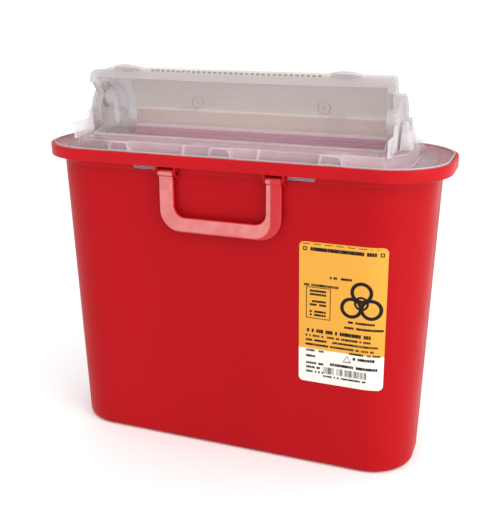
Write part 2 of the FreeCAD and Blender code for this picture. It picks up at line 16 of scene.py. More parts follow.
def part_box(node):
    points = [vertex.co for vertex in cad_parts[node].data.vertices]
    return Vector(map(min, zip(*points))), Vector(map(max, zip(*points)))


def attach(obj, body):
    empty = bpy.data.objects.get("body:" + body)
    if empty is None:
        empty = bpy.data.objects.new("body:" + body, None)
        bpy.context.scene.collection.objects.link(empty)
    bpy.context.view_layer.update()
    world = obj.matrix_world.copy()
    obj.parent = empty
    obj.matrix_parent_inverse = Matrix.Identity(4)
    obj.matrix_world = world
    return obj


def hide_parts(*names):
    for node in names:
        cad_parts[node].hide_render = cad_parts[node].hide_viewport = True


bl_info = {
    "name": "Sharps Container",
    "version": (1, 0, 0),
    "blender": (4, 5, 0),
    "location": "3D View > Sidebar > Sharps Container",
    "description": "Builds the looks of a sharps container round its packed frame",
    "category": "Add Mesh",
}

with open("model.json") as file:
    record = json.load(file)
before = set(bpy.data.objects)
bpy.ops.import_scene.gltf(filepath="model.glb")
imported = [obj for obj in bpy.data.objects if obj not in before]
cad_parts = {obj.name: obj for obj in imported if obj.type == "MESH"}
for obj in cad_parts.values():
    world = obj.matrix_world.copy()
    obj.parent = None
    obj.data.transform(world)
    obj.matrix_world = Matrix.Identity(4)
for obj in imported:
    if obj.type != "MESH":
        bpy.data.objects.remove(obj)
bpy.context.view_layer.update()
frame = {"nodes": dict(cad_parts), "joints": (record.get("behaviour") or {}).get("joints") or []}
RIM_LOW, RIM_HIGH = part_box("tub_rim")
DOOR_LOW, DOOR_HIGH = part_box("rotary_door")
LABEL_LOW, LABEL_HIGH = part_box("front_label")
JOINTS = {joint["name"]: joint for joint in frame["joints"]}
DOOR_AXIS = Vector(JOINTS["door_turn"]["pos_m"])
HANDLE_AXIS = Vector(JOINTS["handle_swing"]["pos_m"])

CORNER_STEPS = 14
LONG_STEPS = 30
SHORT_STEPS = 6
EDGE_STEPS = 5
WALL_STEPS = 26
LIP_STEPS = 18
CIRCLE_STEPS = 48
LABEL_COLUMNS = 36
LABEL_CORNER_STEPS = 8
LABEL_ROW = 0.004           # tallest row of the film's grid

SLOT_CUT = 0.012            # how deep the hook slots' cutter is
EAR_TOP_GAP = 0.0002        # ears stop this far under the rim's inside
EAR_ROUND = 0.0004
KNUCKLE_ROUND = 0.0003
CLEAR_SHARP = 32.0          # degrees above which an edge of the lid or the door is sharp
MERGE = 0.000004            # corners closer than this are one corner
FLAT_ANGLE = 0.6            # degrees below which neighbouring faces are one face
PLANE_NEAR = 0.000002       # corners this close to a cut lie on it
DECK_NEAR = 0.001           # faces this close to the deck or the rim's foot carry no bright edges
FACING_UP = 0.9
# The door's painted edge highlights start this far above the deck.
GRIP_NEAR = 0.004           # the door's edges are bright from this far above the deck
GATE_BEAD = 0.0003
GATE_Y = 0.0233
GATE_Z = 0.2565
# Door zones: BEAD is a painted highlight strip at the deck, BACK a band painted lighter, DRUM a drum painted
# pink with reflected red light, GRIP a grip painted dark for shade.
HOOD, BEAD, DRUM, BACK, END, GRIP = range(6)

FLOOR_HALF = 200.0
FLOOR_DROP = 0.0003         # the floor lies just under the tub
WHITE = (1.0, 1.0, 1.0, 1.0)
FLOOR_COLOUR = (0.96, 0.96, 0.96, 1.0)
SUN_POWER = 0.7
SUN_SPREAD = 60             # degrees
SUN_TURN = (28, 22)         # degrees about X and Y
SOFTBOX_PLACE = (1.1, -0.45, 0.55)
SOFTBOX_AIM = (0.0, 0.0, 0.15)
SOFTBOX_SIZE = 0.8
SOFTBOX_POWER = 8.0
LENS = 56.40
SENSOR = 36.0
CLIP = (0.01, 500.0)
CAMERA_PLACE = (0.20763, -0.55355, 0.33512)
CAMERA_AIM = (0.00385, 0.0, 0.14517)


# ---- sizes and colours ----

def length(name, text, value):
    """Property for a size in metres."""
    return FloatProperty(name=name, description=text, default=value, min=0.0, precision=5,
                         subtype="DISTANCE", unit="LENGTH")


def share(name, text, value):
    """Property for a share from 0 to 1."""
    return FloatProperty(name=name, description=text, default=value, min=0.0, max=1.0, subtype="FACTOR")


def colour(name, text, value):
    """Property for a colour."""
    return FloatVectorProperty(name=name, description=text, default=value, size=4, min=0.0, max=1.0,
                               subtype="COLOR")


class TubSizes(PropertyGroup):
    """Sizes and colours of the tub."""
    wall: length("Wall", "Thickness of the walls and the rim", 0.002)
    floor: length("Floor", "Thickness of the floor", 0.0026)
    overhang_end: length("End overhang", "How far the rim stands outside the end walls", 0.0092)
    overhang_side: length("Side overhang", "How far the rim stands outside the long walls", 0.00585)
    lean_end: length("End lean", "How far the end walls lean in on their way down", 0.0058)
    lean_side: length("Side lean", "How far the long walls lean in on their way down", 0.0106)
    top_corner: length("Top corner", "Corner radius of the wall under the rim", 0.0432)
    base_corner: length("Base corner", "Corner radius of the wall at the base", 0.0335)
    base_edge: length("Base edge", "Rounding between the walls and the underside", 0.004)
    rim_corner: length("Rim corner", "Corner radius of the rim", 0.0457)
    lip: length("Lip", "Width of the lip round the lid", 0.0022)
    seat: length("Seat depth", "Depth of the lid's seat below the lip", 0.0026)
    lip_round: length("Lip rounding", "Rounding of the lip's outer edge", 0.001)
    sag: length("Wall sag", "How far the middle of each long wall sinks in", 0.0005)
    slot_place: length("Slot place", "Middle of each hook slot from the centre line", 0.0578)
    slot_length: length("Slot length", "Length of each hook slot", 0.02)
    slot_drop: length("Slot drop", "Top of the hook slots below the lip", 0.0094)
    slot_height: length("Slot height", "Height of the hook slots", 0.0032)
    red: colour("Red", "Main red of the tub", (0.42, 0.0045, 0.0085, 1.0))
    deep_red: colour("Deep red", "Darker red of the flow marks", (0.375, 0.004, 0.0072, 1.0))
    # Painted light: the rim's red is painted lighter than the wall's, where the rim catches more light.
    rim_lit_red: colour("Rim red", "Brighter red of the rim", (0.50, 0.0055, 0.0105, 1.0))


class HandleSizes(PropertyGroup):
    """Sizes and colours of the carry handle."""
    span: length("Length", "Length of the handle along its axis", 0.091)
    bar: length("Bar", "Width of the handle's bar", 0.0112)
    sheet: length("Sheet", "Thickness of the bar", 0.0032)
    corner: length("Corner", "Outer corner radius", 0.016)
    rounding: length("Rounding", "Rounding of the bar's edges", 0.0011)
    knuckle: length("Knuckle", "Radius of the knuckles", 0.0028)
    pin: length("Pin", "Radius of the pins", 0.0017)
    ear_sheet: length("Ear sheet", "Thickness of the ears on the tub", 0.0018)
    ear_foot: length("Ear foot", "How far the ears run down the wall below the knuckles", 0.003)
    ear_gap: length("Ear gap", "Gap between a knuckle and its ears", 0.0004)
    drop: length("Drop", "From the axis down to the underside of the grip", 0.0422)
    # The pale face is a painted sheen, a reflection of light painted into the handle's colour; these three
    # sizes bound it.
    sheen_right_end: length("Frost end", "Where the frosting ends on the right arm", 0.0378)
    sheen_foot_strip: length("Frost foot", "Red strip left under the frosting", 0.0012)
    sheen_corner: length("Frost corner", "Corner radius of the frosting at the lower right", 0.012)
    red: colour("Edge red", "Red of the handle's edges", (0.47, 0.008, 0.014, 1.0))
    pale: colour("Pale face", "Pale frosting on the handle's front face", (0.61, 0.185, 0.175, 1.0))


class ClearSizes(PropertyGroup):
    """Sizes and colours of the lid and the door."""
    # Painted highlights: a thin pale line under the skin along each sharp edge stands in for light gathering
    # there.
    glow: length("Edge line", "Radius of the bright line inside a moulded edge", 0.00018)
    glow_inset: length("Edge inset", "Depth of that line under the skin", 0.00024)
    gate_radius: length("Gate mark", "Radius of the two gate marks inside the drum", 0.0047)
    gate_place: length("Gate place", "Gate marks from the centre line", 0.051)
    drum: length("Drum", "Inner radius of the drum", 0.031)
    deck: length("Deck", "Height of the lid's deck", 0.2384)
    crease: length("Crease", "Height of the crease along the back of the drum", 0.2516)
    end_from: length("End walls", "The door is clearer beyond this far from the centre line", 0.1045)
    lip_top: length("Lip top", "Height of the plain lip's top edge above the axis", 0.0330)
    lip_depth: length("Lip depth", "The door's roof is clearer within this depth of the lip", 0.0150)
    grip_half: length("Grip half", "Half length of the toothed grip", 0.0635)
    # Painted highlight: a strip of the drum this tall at the deck takes the bright edge colour.
    deck_highlight_strip: length("Deck bead", "Height of the bright bead along the drum at the deck", 0.0005)
    sag: length("Lip sag", "How far the middle of the door's lip hangs down", 0.0010)
    sag_skew: share("Sag skew", "How far the sag leans to the right", 0.3)
    sag_from: length("Sag start", "Height above the axis where the sag starts", 0.022)
    sag_hinge: length("Sag hinge", "Distance in front of the axis where the sag starts", 0.006)
    lid_haze: colour("Lid haze", "Colour of the lid's hazy plastic", (0.76, 0.56, 0.60, 1.0))
    door_haze: colour("Door haze", "Colour of the door's frosted hood", (0.57, 0.455, 0.40, 1.0))
    # Painted light: the drum's back between the deck and the crease is painted lighter, where it catches
    # light.
    back_painted_light: colour("Back haze", "Colour of the drum's back between the deck and the crease",
                      (0.78, 0.61, 0.54, 1.0))
    end_haze: colour("End haze", "Colour of the door's lip and end walls", (0.53, 0.47, 0.47, 1.0))
    # Painted shade: the toothed grip is painted dark for the shade between its teeth.
    grip_painted_shade: colour("Grip shade", "Darker colour of the toothed grip", (0.22, 0.19, 0.18, 1.0))
    # Partly real, partly painted: the drum below the deck is clearer plastic, and its pink is painted
    # reflected light from the red tub.
    drum_painted_red_bounce: colour("Drum haze", "Colour of the drum below the deck", (1.0, 0.60, 0.76, 1.0))
    edge_haze: colour("Edge haze", "Colour where light gathers in an edge", (0.86, 0.81, 0.83, 1.0))
    lid_alpha: share("Lid cover", "How much one skin of the lid hides", 0.27)
    guard_alpha: share("Guard cover", "How much one skin of the lid's thick posts and guards hides", 0.40)
    door_alpha: share("Door cover", "How much one skin of the door hides", 0.52)
    drum_alpha: share("Drum cover", "How much one skin of the lower drum hides", 0.28)
    end_alpha: share("End cover", "How much one skin of the lip and the end walls hides", 0.5)
    edge_alpha: share("Edge cover", "How much an edge of either hides", 0.5)


class LabelSizes(PropertyGroup):
    """Sizes and colours of the label."""
    corner: length("Corner", "Corner radius", 0.0035)
    sheet: length("Sheet", "Thickness of the film", 0.00025)
    ink_sheet: length("Ink", "Thickness of the print", 0.00006)
    band: length("White band", "Height where the white band ends", 0.0964)
    amber: colour("Amber", "Upper part of the label", (0.70, 0.335, 0.040, 1.0))
    white: colour("White", "Lower part of the label", (0.76, 0.74, 0.68, 1.0))
    ink: colour("Ink", "Dark print", (0.010, 0.005, 0.004, 1.0))
    seed: IntProperty(name="Seed", description="Choice of the printed rows' pattern", default=7, min=0)


# ---- mesh helpers ----

def new_object(name, mesh):
    """Object at the origin with its place in its mesh."""
    obj = bpy.data.objects.new(name, mesh)
    bpy.context.scene.collection.objects.link(obj)
    return obj


def mesh_object(name, bm, materials, sharp=35.0):
    """Object from a bmesh, smooth apart from edges sharper than the given angle."""
    mesh = bpy.data.meshes.new(name)
    bm.to_mesh(mesh)
    bm.free()
    for material in materials:
        mesh.materials.append(material)
    shade(mesh, sharp)
    return new_object(name, mesh)


def shade(mesh, sharp):
    """Smooth faces with sharp edges above an angle in degrees."""
    mesh.shade_smooth()
    mesh.set_sharp_from_angle(angle=math.radians(sharp))


def settle(obj):
    """Replace an object's mesh by its evaluated one and take its modifiers off."""
    graph = bpy.context.evaluated_depsgraph_get()
    graph.update()
    made = bpy.data.meshes.new_from_object(obj.evaluated_get(graph), depsgraph=graph)
    made.name = obj.name
    obj.modifiers.clear()
    obj.data = made
    return obj


def bevel(obj, width, segments, angle=30.0):
    """Round an object's edges and settle it."""
    modifier = obj.modifiers.new("edges", "BEVEL")
    modifier.width = width
    modifier.segments = segments
    modifier.limit_method = "ANGLE"
    modifier.angle_limit = math.radians(angle)
    modifier.harden_normals = False
    return settle(obj)


def loft(bm, rings):
    """Skin between rings of equal count; the ends are capped."""
    rows = [[bm.verts.new(point) for point in points] for points in rings]
    for low, high in zip(rows, rows[1:]):
        for i in range(len(low)):
            j = (i + 1) % len(low)
            bm.faces.new((low[i], low[j], high[j], high[i]))
    bm.faces.new(list(reversed(rows[0])))
    bm.faces.new(rows[-1])


def prism(bm, outline, place, depth):
    """Closed block from an outline; place maps (a, b, depth) to a point."""
    near = [bm.verts.new(place(a, b, 0.0)) for a, b in outline]
    far = [bm.verts.new(place(a, b, depth)) for a, b in outline]
    faces = [bm.faces.new(near), bm.faces.new(list(reversed(far)))]
    for i in range(len(near)):
        j = (i + 1) % len(near)
        faces.append(bm.faces.new((near[j], near[i], far[i], far[j])))
    bmesh.ops.recalc_face_normals(bm, faces=faces)


def tube_x(bm, radius, x0, x1, y, z, segments=36):
    """Closed cylinder along X."""
    turn = Matrix.Rotation(math.pi / 2, 4, "Y")
    spot = Matrix.Translation(((x0 + x1) / 2, y, z))
    bmesh.ops.create_cone(bm, cap_ends=True, segments=segments, radius1=radius, radius2=radius,
                          depth=x1 - x0, matrix=spot @ turn)


def arc(centre_a, centre_b, radius, start, stop, steps):
    """Points of an arc, angles in degrees."""
    points = []
    for step in range(steps + 1):
        angle = math.radians(start + (stop - start) * step / steps)
        points.append((centre_a + radius * math.cos(angle), centre_b + radius * math.sin(angle)))
    return points


# ---- node helpers ----

def node_group(name, inputs, outputs, kind="ShaderNodeTree"):
    """Group with named sockets; returns the tree, its input and its output node."""
    tree = bpy.data.node_groups.new(name, kind)
    for label, kind, value in inputs:
        socket = tree.interface.new_socket(name=label, in_out="INPUT", socket_type=kind)
        if value is not None:
            socket.default_value = value
    for label, kind in outputs:
        tree.interface.new_socket(name=label, in_out="OUTPUT", socket_type=kind)
    return tree, tree.nodes.new("NodeGroupInput"), tree.nodes.new("NodeGroupOutput")


def geometry_group(name, inputs):
    """Geometry Nodes tree with named inputs and one geometry out; returns what node_group does."""
    return node_group(name, inputs, [("Geometry", "NodeSocketGeometry")], "GeometryNodeTree")


def paint_and_end(tree, geometry, given, made):
    """End a Geometry Nodes tree: instances made real and the given material set."""
    real = tree.nodes.new("GeometryNodeRealizeInstances")
    tree.links.new(geometry, real.inputs["Geometry"])
    paint = tree.nodes.new("GeometryNodeSetMaterial")
    tree.links.new(real.outputs["Geometry"], paint.inputs["Geometry"])
    tree.links.new(given.outputs["Material"], paint.inputs["Material"])
    tree.links.new(paint.outputs["Geometry"], made.inputs["Geometry"])


def noise(tree, vector, scale, detail, stretch=None):
    """Noise factor at a vector; scale and stretch are sockets or numbers."""
    node = tree.nodes.new("ShaderNodeTexNoise")
    node.inputs["Detail"].default_value = detail
    if stretch is not None:
        mapping = tree.nodes.new("ShaderNodeMapping")
        mapping.inputs["Scale"].default_value = stretch
        tree.links.new(vector, mapping.inputs["Vector"])
        vector = mapping.outputs["Vector"]
    tree.links.new(vector, node.inputs["Vector"])
    if isinstance(scale, (int, float)):
        node.inputs["Scale"].default_value = scale
    else:
        tree.links.new(scale, node.inputs["Scale"])
    return node.outputs["Fac"]


def ramp(tree, value, low, high, out_low, out_high):
    """Map a range of values to another, limited at both ends."""
    node = tree.nodes.new("ShaderNodeMapRange")
    tree.links.new(value, node.inputs["Value"])
    for label, given in (("From Min", low), ("From Max", high), ("To Min", out_low), ("To Max", out_high)):
        if isinstance(given, (int, float)):
            node.inputs[label].default_value = given
        else:
            tree.links.new(given, node.inputs[label])
    return node.outputs["Result"]


def mix_colour(tree, factor, first, second):
    """Mix two colours by a factor."""
    node = tree.nodes.new("ShaderNodeMix")
    node.data_type = "RGBA"
    tree.links.new(factor, node.inputs["Factor"])
    for label, given in (("A", first), ("B", second)):
        socket = [s for s in node.inputs if s.name == label and s.type == "RGBA"][0]
        if isinstance(given, (tuple, list)):
            socket.default_value = given
        else:
            tree.links.new(given, socket)
    return [s for s in node.outputs if s.type == "RGBA"][0]


def math_node(tree, operation, first, second):
    """One sum on two values."""
    node = tree.nodes.new("ShaderNodeMath")
    node.operation = operation
    for socket, given in zip(node.inputs, (first, second)):
        if isinstance(given, (int, float)):
            socket.default_value = given
        else:
            tree.links.new(given, socket)
    return node.outputs["Value"]


def moulded_skin():
    """Group: opaque moulded plastic with flow marks, fine grain and rubbed patches."""
    name = "moulded skin"
    if name in bpy.data.node_groups:
        return bpy.data.node_groups[name]
    tree, given, made = node_group(
        name,
        [("Vector", "NodeSocketVector", None), ("Colour", "NodeSocketColor", (0.6, 0.01, 0.02, 1)),
         ("Deep Colour", "NodeSocketColor", (0.5, 0.01, 0.01, 1)),
         ("Grain Scale", "NodeSocketFloat", 1500.0), ("Grain", "NodeSocketFloat", 0.3),
         ("Smooth", "NodeSocketFloat", 0.3), ("Rough", "NodeSocketFloat", 0.42)],
        [("Colour", "NodeSocketColor"), ("Roughness", "NodeSocketFloat"), ("Height", "NodeSocketFloat")])
    flow = noise(tree, given.outputs["Vector"], 9.0, 4.0, (1.0, 1.0, 0.22))
    patch = noise(tree, given.outputs["Vector"], 22.0, 5.0)
    grain = noise(tree, given.outputs["Vector"], given.outputs["Grain Scale"], 2.0)
    tint = ramp(tree, flow, 0.35, 0.7, 0.0, 1.0)
    tree.links.new(mix_colour(tree, tint, given.outputs["Colour"], given.outputs["Deep Colour"]),
                   made.inputs["Colour"])
    tree.links.new(ramp(tree, patch, 0.3, 0.7, given.outputs["Smooth"], given.outputs["Rough"]),
                   made.inputs["Roughness"])
    tree.links.new(math_node(tree, "MULTIPLY", grain, given.outputs["Grain"]), made.inputs["Height"])
    return tree


def hazy_skin():
    """Group: translucent moulded plastic with cloudy haze, flow lines and fine scuffs."""
    name = "hazy skin"
    if name in bpy.data.node_groups:
        return bpy.data.node_groups[name]
    tree, given, made = node_group(
        name,
        [("Vector", "NodeSocketVector", None), ("Haze", "NodeSocketColor", (0.6, 0.55, 0.55, 1)),
         ("Milk", "NodeSocketColor", (0.8, 0.8, 0.8, 1)), ("Cover", "NodeSocketFloat", 0.45)],
        [("Colour", "NodeSocketColor"), ("Roughness", "NodeSocketFloat"), ("Alpha", "NodeSocketFloat"),
         ("Height", "NodeSocketFloat")])
    cloud = noise(tree, given.outputs["Vector"], 26.0, 2.0)
    flow = noise(tree, given.outputs["Vector"], 40.0, 1.0, (0.1, 1.0, 1.0))
    scuff = noise(tree, given.outputs["Vector"], 260.0, 1.0)
    both = math_node(tree, "ADD", cloud, flow)
    tree.links.new(mix_colour(tree, ramp(tree, both, 0.85, 1.25, 0.0, 0.16), given.outputs["Haze"],
                              given.outputs["Milk"]), made.inputs["Colour"])
    tree.links.new(ramp(tree, flow, 0.3, 0.7, 0.16, 0.24), made.inputs["Roughness"])
    more = ramp(tree, both, 0.8, 1.25, -0.02, 0.03)
    tree.links.new(math_node(tree, "ADD", given.outputs["Cover"], more), made.inputs["Alpha"])
    tree.links.new(math_node(tree, "MULTIPLY", scuff, 0.5), made.inputs["Height"])
    return tree


def printed_film():
    """Group: printed film with slight ink mottle and a faint linen texture."""
    name = "printed film"
    if name in bpy.data.node_groups:
        return bpy.data.node_groups[name]
    tree, given, made = node_group(
        name,
        [("Vector", "NodeSocketVector", None), ("Colour", "NodeSocketColor", (0.9, 0.9, 0.9, 1)),
         ("Mottle", "NodeSocketFloat", 0.06)],
        [("Colour", "NodeSocketColor"), ("Roughness", "NodeSocketFloat"), ("Height", "NodeSocketFloat")])
    speck = noise(tree, given.outputs["Vector"], 700.0, 3.0)
    broad = noise(tree, given.outputs["Vector"], 45.0, 3.0)
    fade = math_node(tree, "MULTIPLY", ramp(tree, speck, 0.3, 0.75, 0.0, 1.0), given.outputs["Mottle"])
    tree.links.new(mix_colour(tree, fade, given.outputs["Colour"], (0.5, 0.42, 0.36, 1.0)),
                   made.inputs["Colour"])
    tree.links.new(ramp(tree, broad, 0.3, 0.7, 0.36, 0.48), made.inputs["Roughness"])
    tree.links.new(math_node(tree, "MULTIPLY", speck, 0.3), made.inputs["Height"])
    return tree


def surface(name, group, values, distance, strength=0.25, bump=True):
    """Material whose shared effect group feeds a Principled shader; returns both."""
    material = bpy.data.materials.new(name)
    material.use_nodes = True
    tree = material.node_tree
    shader = next(node for node in tree.nodes if node.type == "BSDF_PRINCIPLED")
    place = tree.nodes.new("ShaderNodeTexCoord")
    effect = tree.nodes.new("ShaderNodeGroup")
    effect.node_tree = group
    tree.links.new(place.outputs["Object"], effect.inputs["Vector"])
    for label, value in values.items():
        effect.inputs[label].default_value = value
    tree.links.new(effect.outputs["Colour"], shader.inputs["Base Color"])
    tree.links.new(effect.outputs["Roughness"], shader.inputs["Roughness"])
    if "Alpha" in effect.outputs:
        tree.links.new(effect.outputs["Alpha"], shader.inputs["Alpha"])
    if bump:
        relief = tree.nodes.new("ShaderNodeBump")
        relief.inputs["Distance"].default_value = distance
        relief.inputs["Strength"].default_value = strength
        tree.links.new(effect.outputs["Height"], relief.inputs["Height"])
        tree.links.new(relief.outputs["Normal"], shader.inputs["Normal"])
    return material, shader, effect


def red_plastic(name, red, deep_red, sheen):
    """Satin red of the tub or its rim."""
    material, shader, _ = surface(
        name, moulded_skin(),
        {"Colour": red, "Deep Colour": deep_red, "Grain Scale": 1400.0, "Grain": 0.6,
         "Smooth": 0.36, "Rough": 0.48}, 0.0002)
    shader.inputs["Specular IOR Level"].default_value = sheen
    return material


def handle_red_with_painted_sheen(name, props):
    """Red of the handle with a painted sheen: its front face is painted pale inside a red border, a
    reflection of light painted by which way the face points.
    """
    material, shader, effect = surface(
        name, moulded_skin(),
        {"Colour": props.red, "Deep Colour": props.red, "Grain Scale": 1800.0, "Grain": 0.5,
         "Smooth": 0.2, "Rough": 0.34}, 0.0002)
    shader.inputs["Specular IOR Level"].default_value = 0.25
    shader.inputs["Coat Weight"].default_value = 0.45
    shader.inputs["Coat Roughness"].default_value = 0.05
    tree = material.node_tree
    place = tree.nodes.new("ShaderNodeTexCoord")
    spot = tree.nodes.new("ShaderNodeSeparateXYZ")
    tree.links.new(place.outputs["Object"], spot.inputs["Vector"])
    turned = tree.nodes.new("ShaderNodeSeparateXYZ")
    tree.links.new(place.outputs["Normal"], turned.inputs["Vector"])
    # Painted sheen: faces that point to the front are painted pale.
    sheen_facing = ramp(tree, math_node(tree, "MULTIPLY", turned.outputs["Y"], -1.0), 0.82, 0.97, 0.0, 1.0)
    bend = props.sheen_corner
    foot = HANDLE_AXIS.z - props.drop + props.sheen_foot_strip
    across = math_node(tree, "SUBTRACT", spot.outputs["X"], props.sheen_right_end - bend)
    down = math_node(tree, "SUBTRACT", foot + bend, spot.outputs["Z"])
    square = math_node(tree, "ADD", math_node(tree, "POWER", math_node(tree, "MAXIMUM", across, 0.0), 2.0),
                       math_node(tree, "POWER", math_node(tree, "MAXIMUM", down, 0.0), 2.0))
    reach = math_node(tree, "SQRT", square, 0.0)
    inside = ramp(tree, reach, bend - 0.0006, bend + 0.0006, 1.0, 0.0)
    # Uneven patches in the painted sheen.
    sheen_patches = noise(tree, place.outputs["Object"], 120.0, 4.0)
    patchy = ramp(tree, sheen_patches, 0.34, 0.62, 0.72, 1.0)
    mask = math_node(tree, "MULTIPLY", sheen_facing, math_node(tree, "MULTIPLY", inside, patchy))
    tree.links.new(mix_colour(tree, mask, effect.outputs["Colour"], tuple(props.pale)),
                   shader.inputs["Base Color"])
    return material


def clear_plastic(name, haze, milk, cover):
    """Hazy translucent polypropylene."""
    material, shader, _ = surface(name, hazy_skin(), {"Haze": haze, "Milk": milk, "Cover": cover},
                                  0.0002, 0.05)
    shader.inputs["IOR"].default_value = 1.5
    shader.inputs["Coat Weight"].default_value = 0.35
    shader.inputs["Coat Roughness"].default_value = 0.12
    return material


def film(name, tint, mottle):
    """Printed film in one colour."""
    material, shader, _ = surface(name, printed_film(), {"Colour": tint, "Mottle": mottle}, 0.0001, 0.2)
    shader.inputs["Specular IOR Level"].default_value = 0.15
    return material


# ---- tub ----

def wall_size(tub, z, out=0.0):
    """Half length, half width and corner radius of the leaning wall at height z."""
    left = 1 - z / RIM_LOW.z
    half_x = RIM_HIGH.x - tub.overhang_end - tub.lean_end * left + out
    half_y = RIM_HIGH.y - tub.overhang_side - tub.lean_side * left + out
    corner = tub.top_corner - (tub.top_corner - tub.base_corner) * left + out
    return half_x, half_y, corner


def wall_sag(tub, z):
    """Depth of the long walls' sag at height z."""
    return tub.sag * math.sin(math.pi * min(max(z / RIM_LOW.z, 0.0), 1.0))


def hollow(x, reach):
    """Share of the sag at x, from 1 in the middle to 0 at the ends of the straight wall."""
    return math.cos(math.pi / 2 * min(abs(x) / reach, 1.0)) ** 2


def front_y(tub, x, z):
    """Outer face of the front wall."""
    half_x, half_y, corner = wall_size(tub, z)
    straight = half_x - corner
    if abs(x) <= straight:
        return -(half_y - wall_sag(tub, z) * hollow(x, straight))
    return -(half_y - corner + math.sqrt(corner ** 2 - (abs(x) - straight) ** 2))


def ring(half_x, half_y, corner, z, sag=0.0):
    """Points of a rounded rectangle at height z, its long sides drawn in by sag."""
    cx = half_x - corner
    cy = half_y - corner
    points = []
    for turn, (sx, sy) in enumerate(((1, 1), (-1, 1), (-1, -1), (1, -1))):
        for a, b in arc(sx * cx, sy * cy, corner, 90 * turn, 90 * turn + 90, CORNER_STEPS):
            points.append(Vector((a, b, z)))
        if turn % 2 == 0:
            for step in range(1, LONG_STEPS):
                x = sx * cx * (1 - 2 * step / LONG_STEPS)
                points.append(Vector((x, sy * (half_y - sag * hollow(x, cx)), z)))
        else:
            for step in range(1, SHORT_STEPS):
                points.append(Vector((sx * half_x, sy * cy * (1 - 2 * step / SHORT_STEPS), z)))
    return points


def rim_ring(tub, inset, z):
    """Ring set in from the rim's outline."""
    return ring(RIM_HIGH.x - inset, RIM_HIGH.y - inset, tub.rim_corner - inset, z)


def tub_rings(tub):
    """Rings from the underside, up the wall, over the rim and down the inside to the floor."""
    rings = []
    for a, b in arc(0.0, 0.0, 1.0, -90, 0, EDGE_STEPS):
        z = tub.base_edge * (1 + b)
        rings.append(ring(*wall_size(tub, z, -tub.base_edge * (1 - a)), z))
    seat_z = RIM_HIGH.z - tub.seat
    channel = seat_z - tub.wall
    for step in range(1, WALL_STEPS + 1):
        z = tub.base_edge + (channel - tub.base_edge) * step / WALL_STEPS
        rings.append(ring(*wall_size(tub, z), z, wall_sag(tub, z)))
    foot = RIM_LOW.z
    small = tub.wall * 0.3
    skirt = [(tub.wall, channel), (tub.wall, foot + small), (tub.wall - small * 0.3, foot + small * 0.3),
             (tub.wall - small, foot), (small, foot), (small * 0.3, foot + small * 0.3), (0.0, foot + small)]
    rings += [rim_ring(tub, inset, z) for inset, z in skirt]
    for a, b in arc(tub.lip_round, RIM_HIGH.z - tub.lip_round, tub.lip_round, 180, 90, EDGE_STEPS):
        rings.append(rim_ring(tub, a, b))
    inner = tub.lip_round * 0.5
    lip = [(tub.lip - inner, RIM_HIGH.z), (tub.lip - inner * 0.3, RIM_HIGH.z - inner * 0.3),
           (tub.lip, RIM_HIGH.z - inner), (tub.lip, seat_z)]
    rings += [rim_ring(tub, inset, z) for inset, z in lip]
    cove = tub.base_edge - tub.wall / 2
    for step in range(WALL_STEPS + 1):
        z = seat_z + (tub.floor + cove - seat_z) * step / WALL_STEPS
        rings.append(ring(*wall_size(tub, z, -tub.wall), z, wall_sag(tub, z)))
    for a, b in arc(0.0, 0.0, 1.0, 0, -90, EDGE_STEPS)[1:]:
        z = tub.floor + cove * (1 + b)
        rings.append(ring(*wall_size(tub, z, -tub.wall - cove * (1 - a)), z))
    return rings


def slot_cutter(tub):
    """Four boxes where the lid's hooks pass through the long walls."""
    bm = bmesh.new()
    high = RIM_HIGH.z - tub.slot_drop
    for side in (-1, 1):
        for place in (-tub.slot_place, tub.slot_place):
            spot = Matrix.Translation((place, side * (RIM_HIGH.y - SLOT_CUT / 2), high - tub.slot_height / 2))
            scale = Matrix.Diagonal((tub.slot_length, SLOT_CUT, tub.slot_height, 1.0))
            bmesh.ops.create_cube(bm, size=1.0, matrix=spot @ scale)
    return mesh_object("slot_cutter", bm, [])


def handle_ears(tub, handle, material):
    """Ears under the rim that hold the handle's pins."""
    bm = bmesh.new()
    arm = handle.span / 2
    low = HANDLE_AXIS.z - handle.knuckle
    tip = HANDLE_AXIS.y - handle.knuckle
    top = RIM_HIGH.z - tub.seat - tub.wall - EAR_TOP_GAP
    back = front_y(tub, arm, low) + tub.wall / 2
    outline = [(back, low - handle.ear_foot), (HANDLE_AXIS.y, low), (tip, HANDLE_AXIS.z), (tip, top),
               (back, top)]
    for inner in (arm - handle.bar - handle.ear_gap - handle.ear_sheet, arm + handle.ear_gap):
        for start in (inner, -inner - handle.ear_sheet):
            prism(bm, outline, lambda y, z, depth, x=start: (x + depth, y, z), handle.ear_sheet)
    ears = mesh_object("handle_ears", bm, [material])
    bevel(ears, EAR_ROUND, 2)
    shade(ears.data, 40.0)
    return ears


class SHARPS_OT_make_tub(Operator):
    """Tapered tub with its turned-over rim, hook slots and handle ears."""
    bl_idname = "sharps.make_tub"
    bl_label = "Make Tub"

    def execute(self, context):
        tub = context.scene.sharps_tub
        material = red_plastic("tub red plastic", tub.red, tub.deep_red, 0.07)
        # The rim's material paints light into its red.
        rim = red_plastic("rim red painted lighter", tub.rim_lit_red, tub.red, 0.1)
        bm = bmesh.new()
        loft(bm, tub_rings(tub))
        # Faces of the rim take the lighter red, painted light.
        for face in bm.faces:
            if face.calc_center_median().z > RIM_LOW.z - tub.wall / 2:
                face.material_index = 1
        body = mesh_object("tub_body", bm, [material, rim])
        cutter = slot_cutter(tub)
        cut = body.modifiers.new("slots", "BOOLEAN")
        cut.operation = "DIFFERENCE"
        cut.solver = "EXACT"
        cut.object = cutter
        settle(body)
        shade(body.data, 35.0)
        bpy.data.objects.remove(cutter)
        ears = handle_ears(tub, context.scene.sharps_handle, material)
        for piece in (body, ears):
            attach(piece, "container")
        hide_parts("tub", "tub_rim")
        return {"FINISHED"}


# ---- carry handle ----

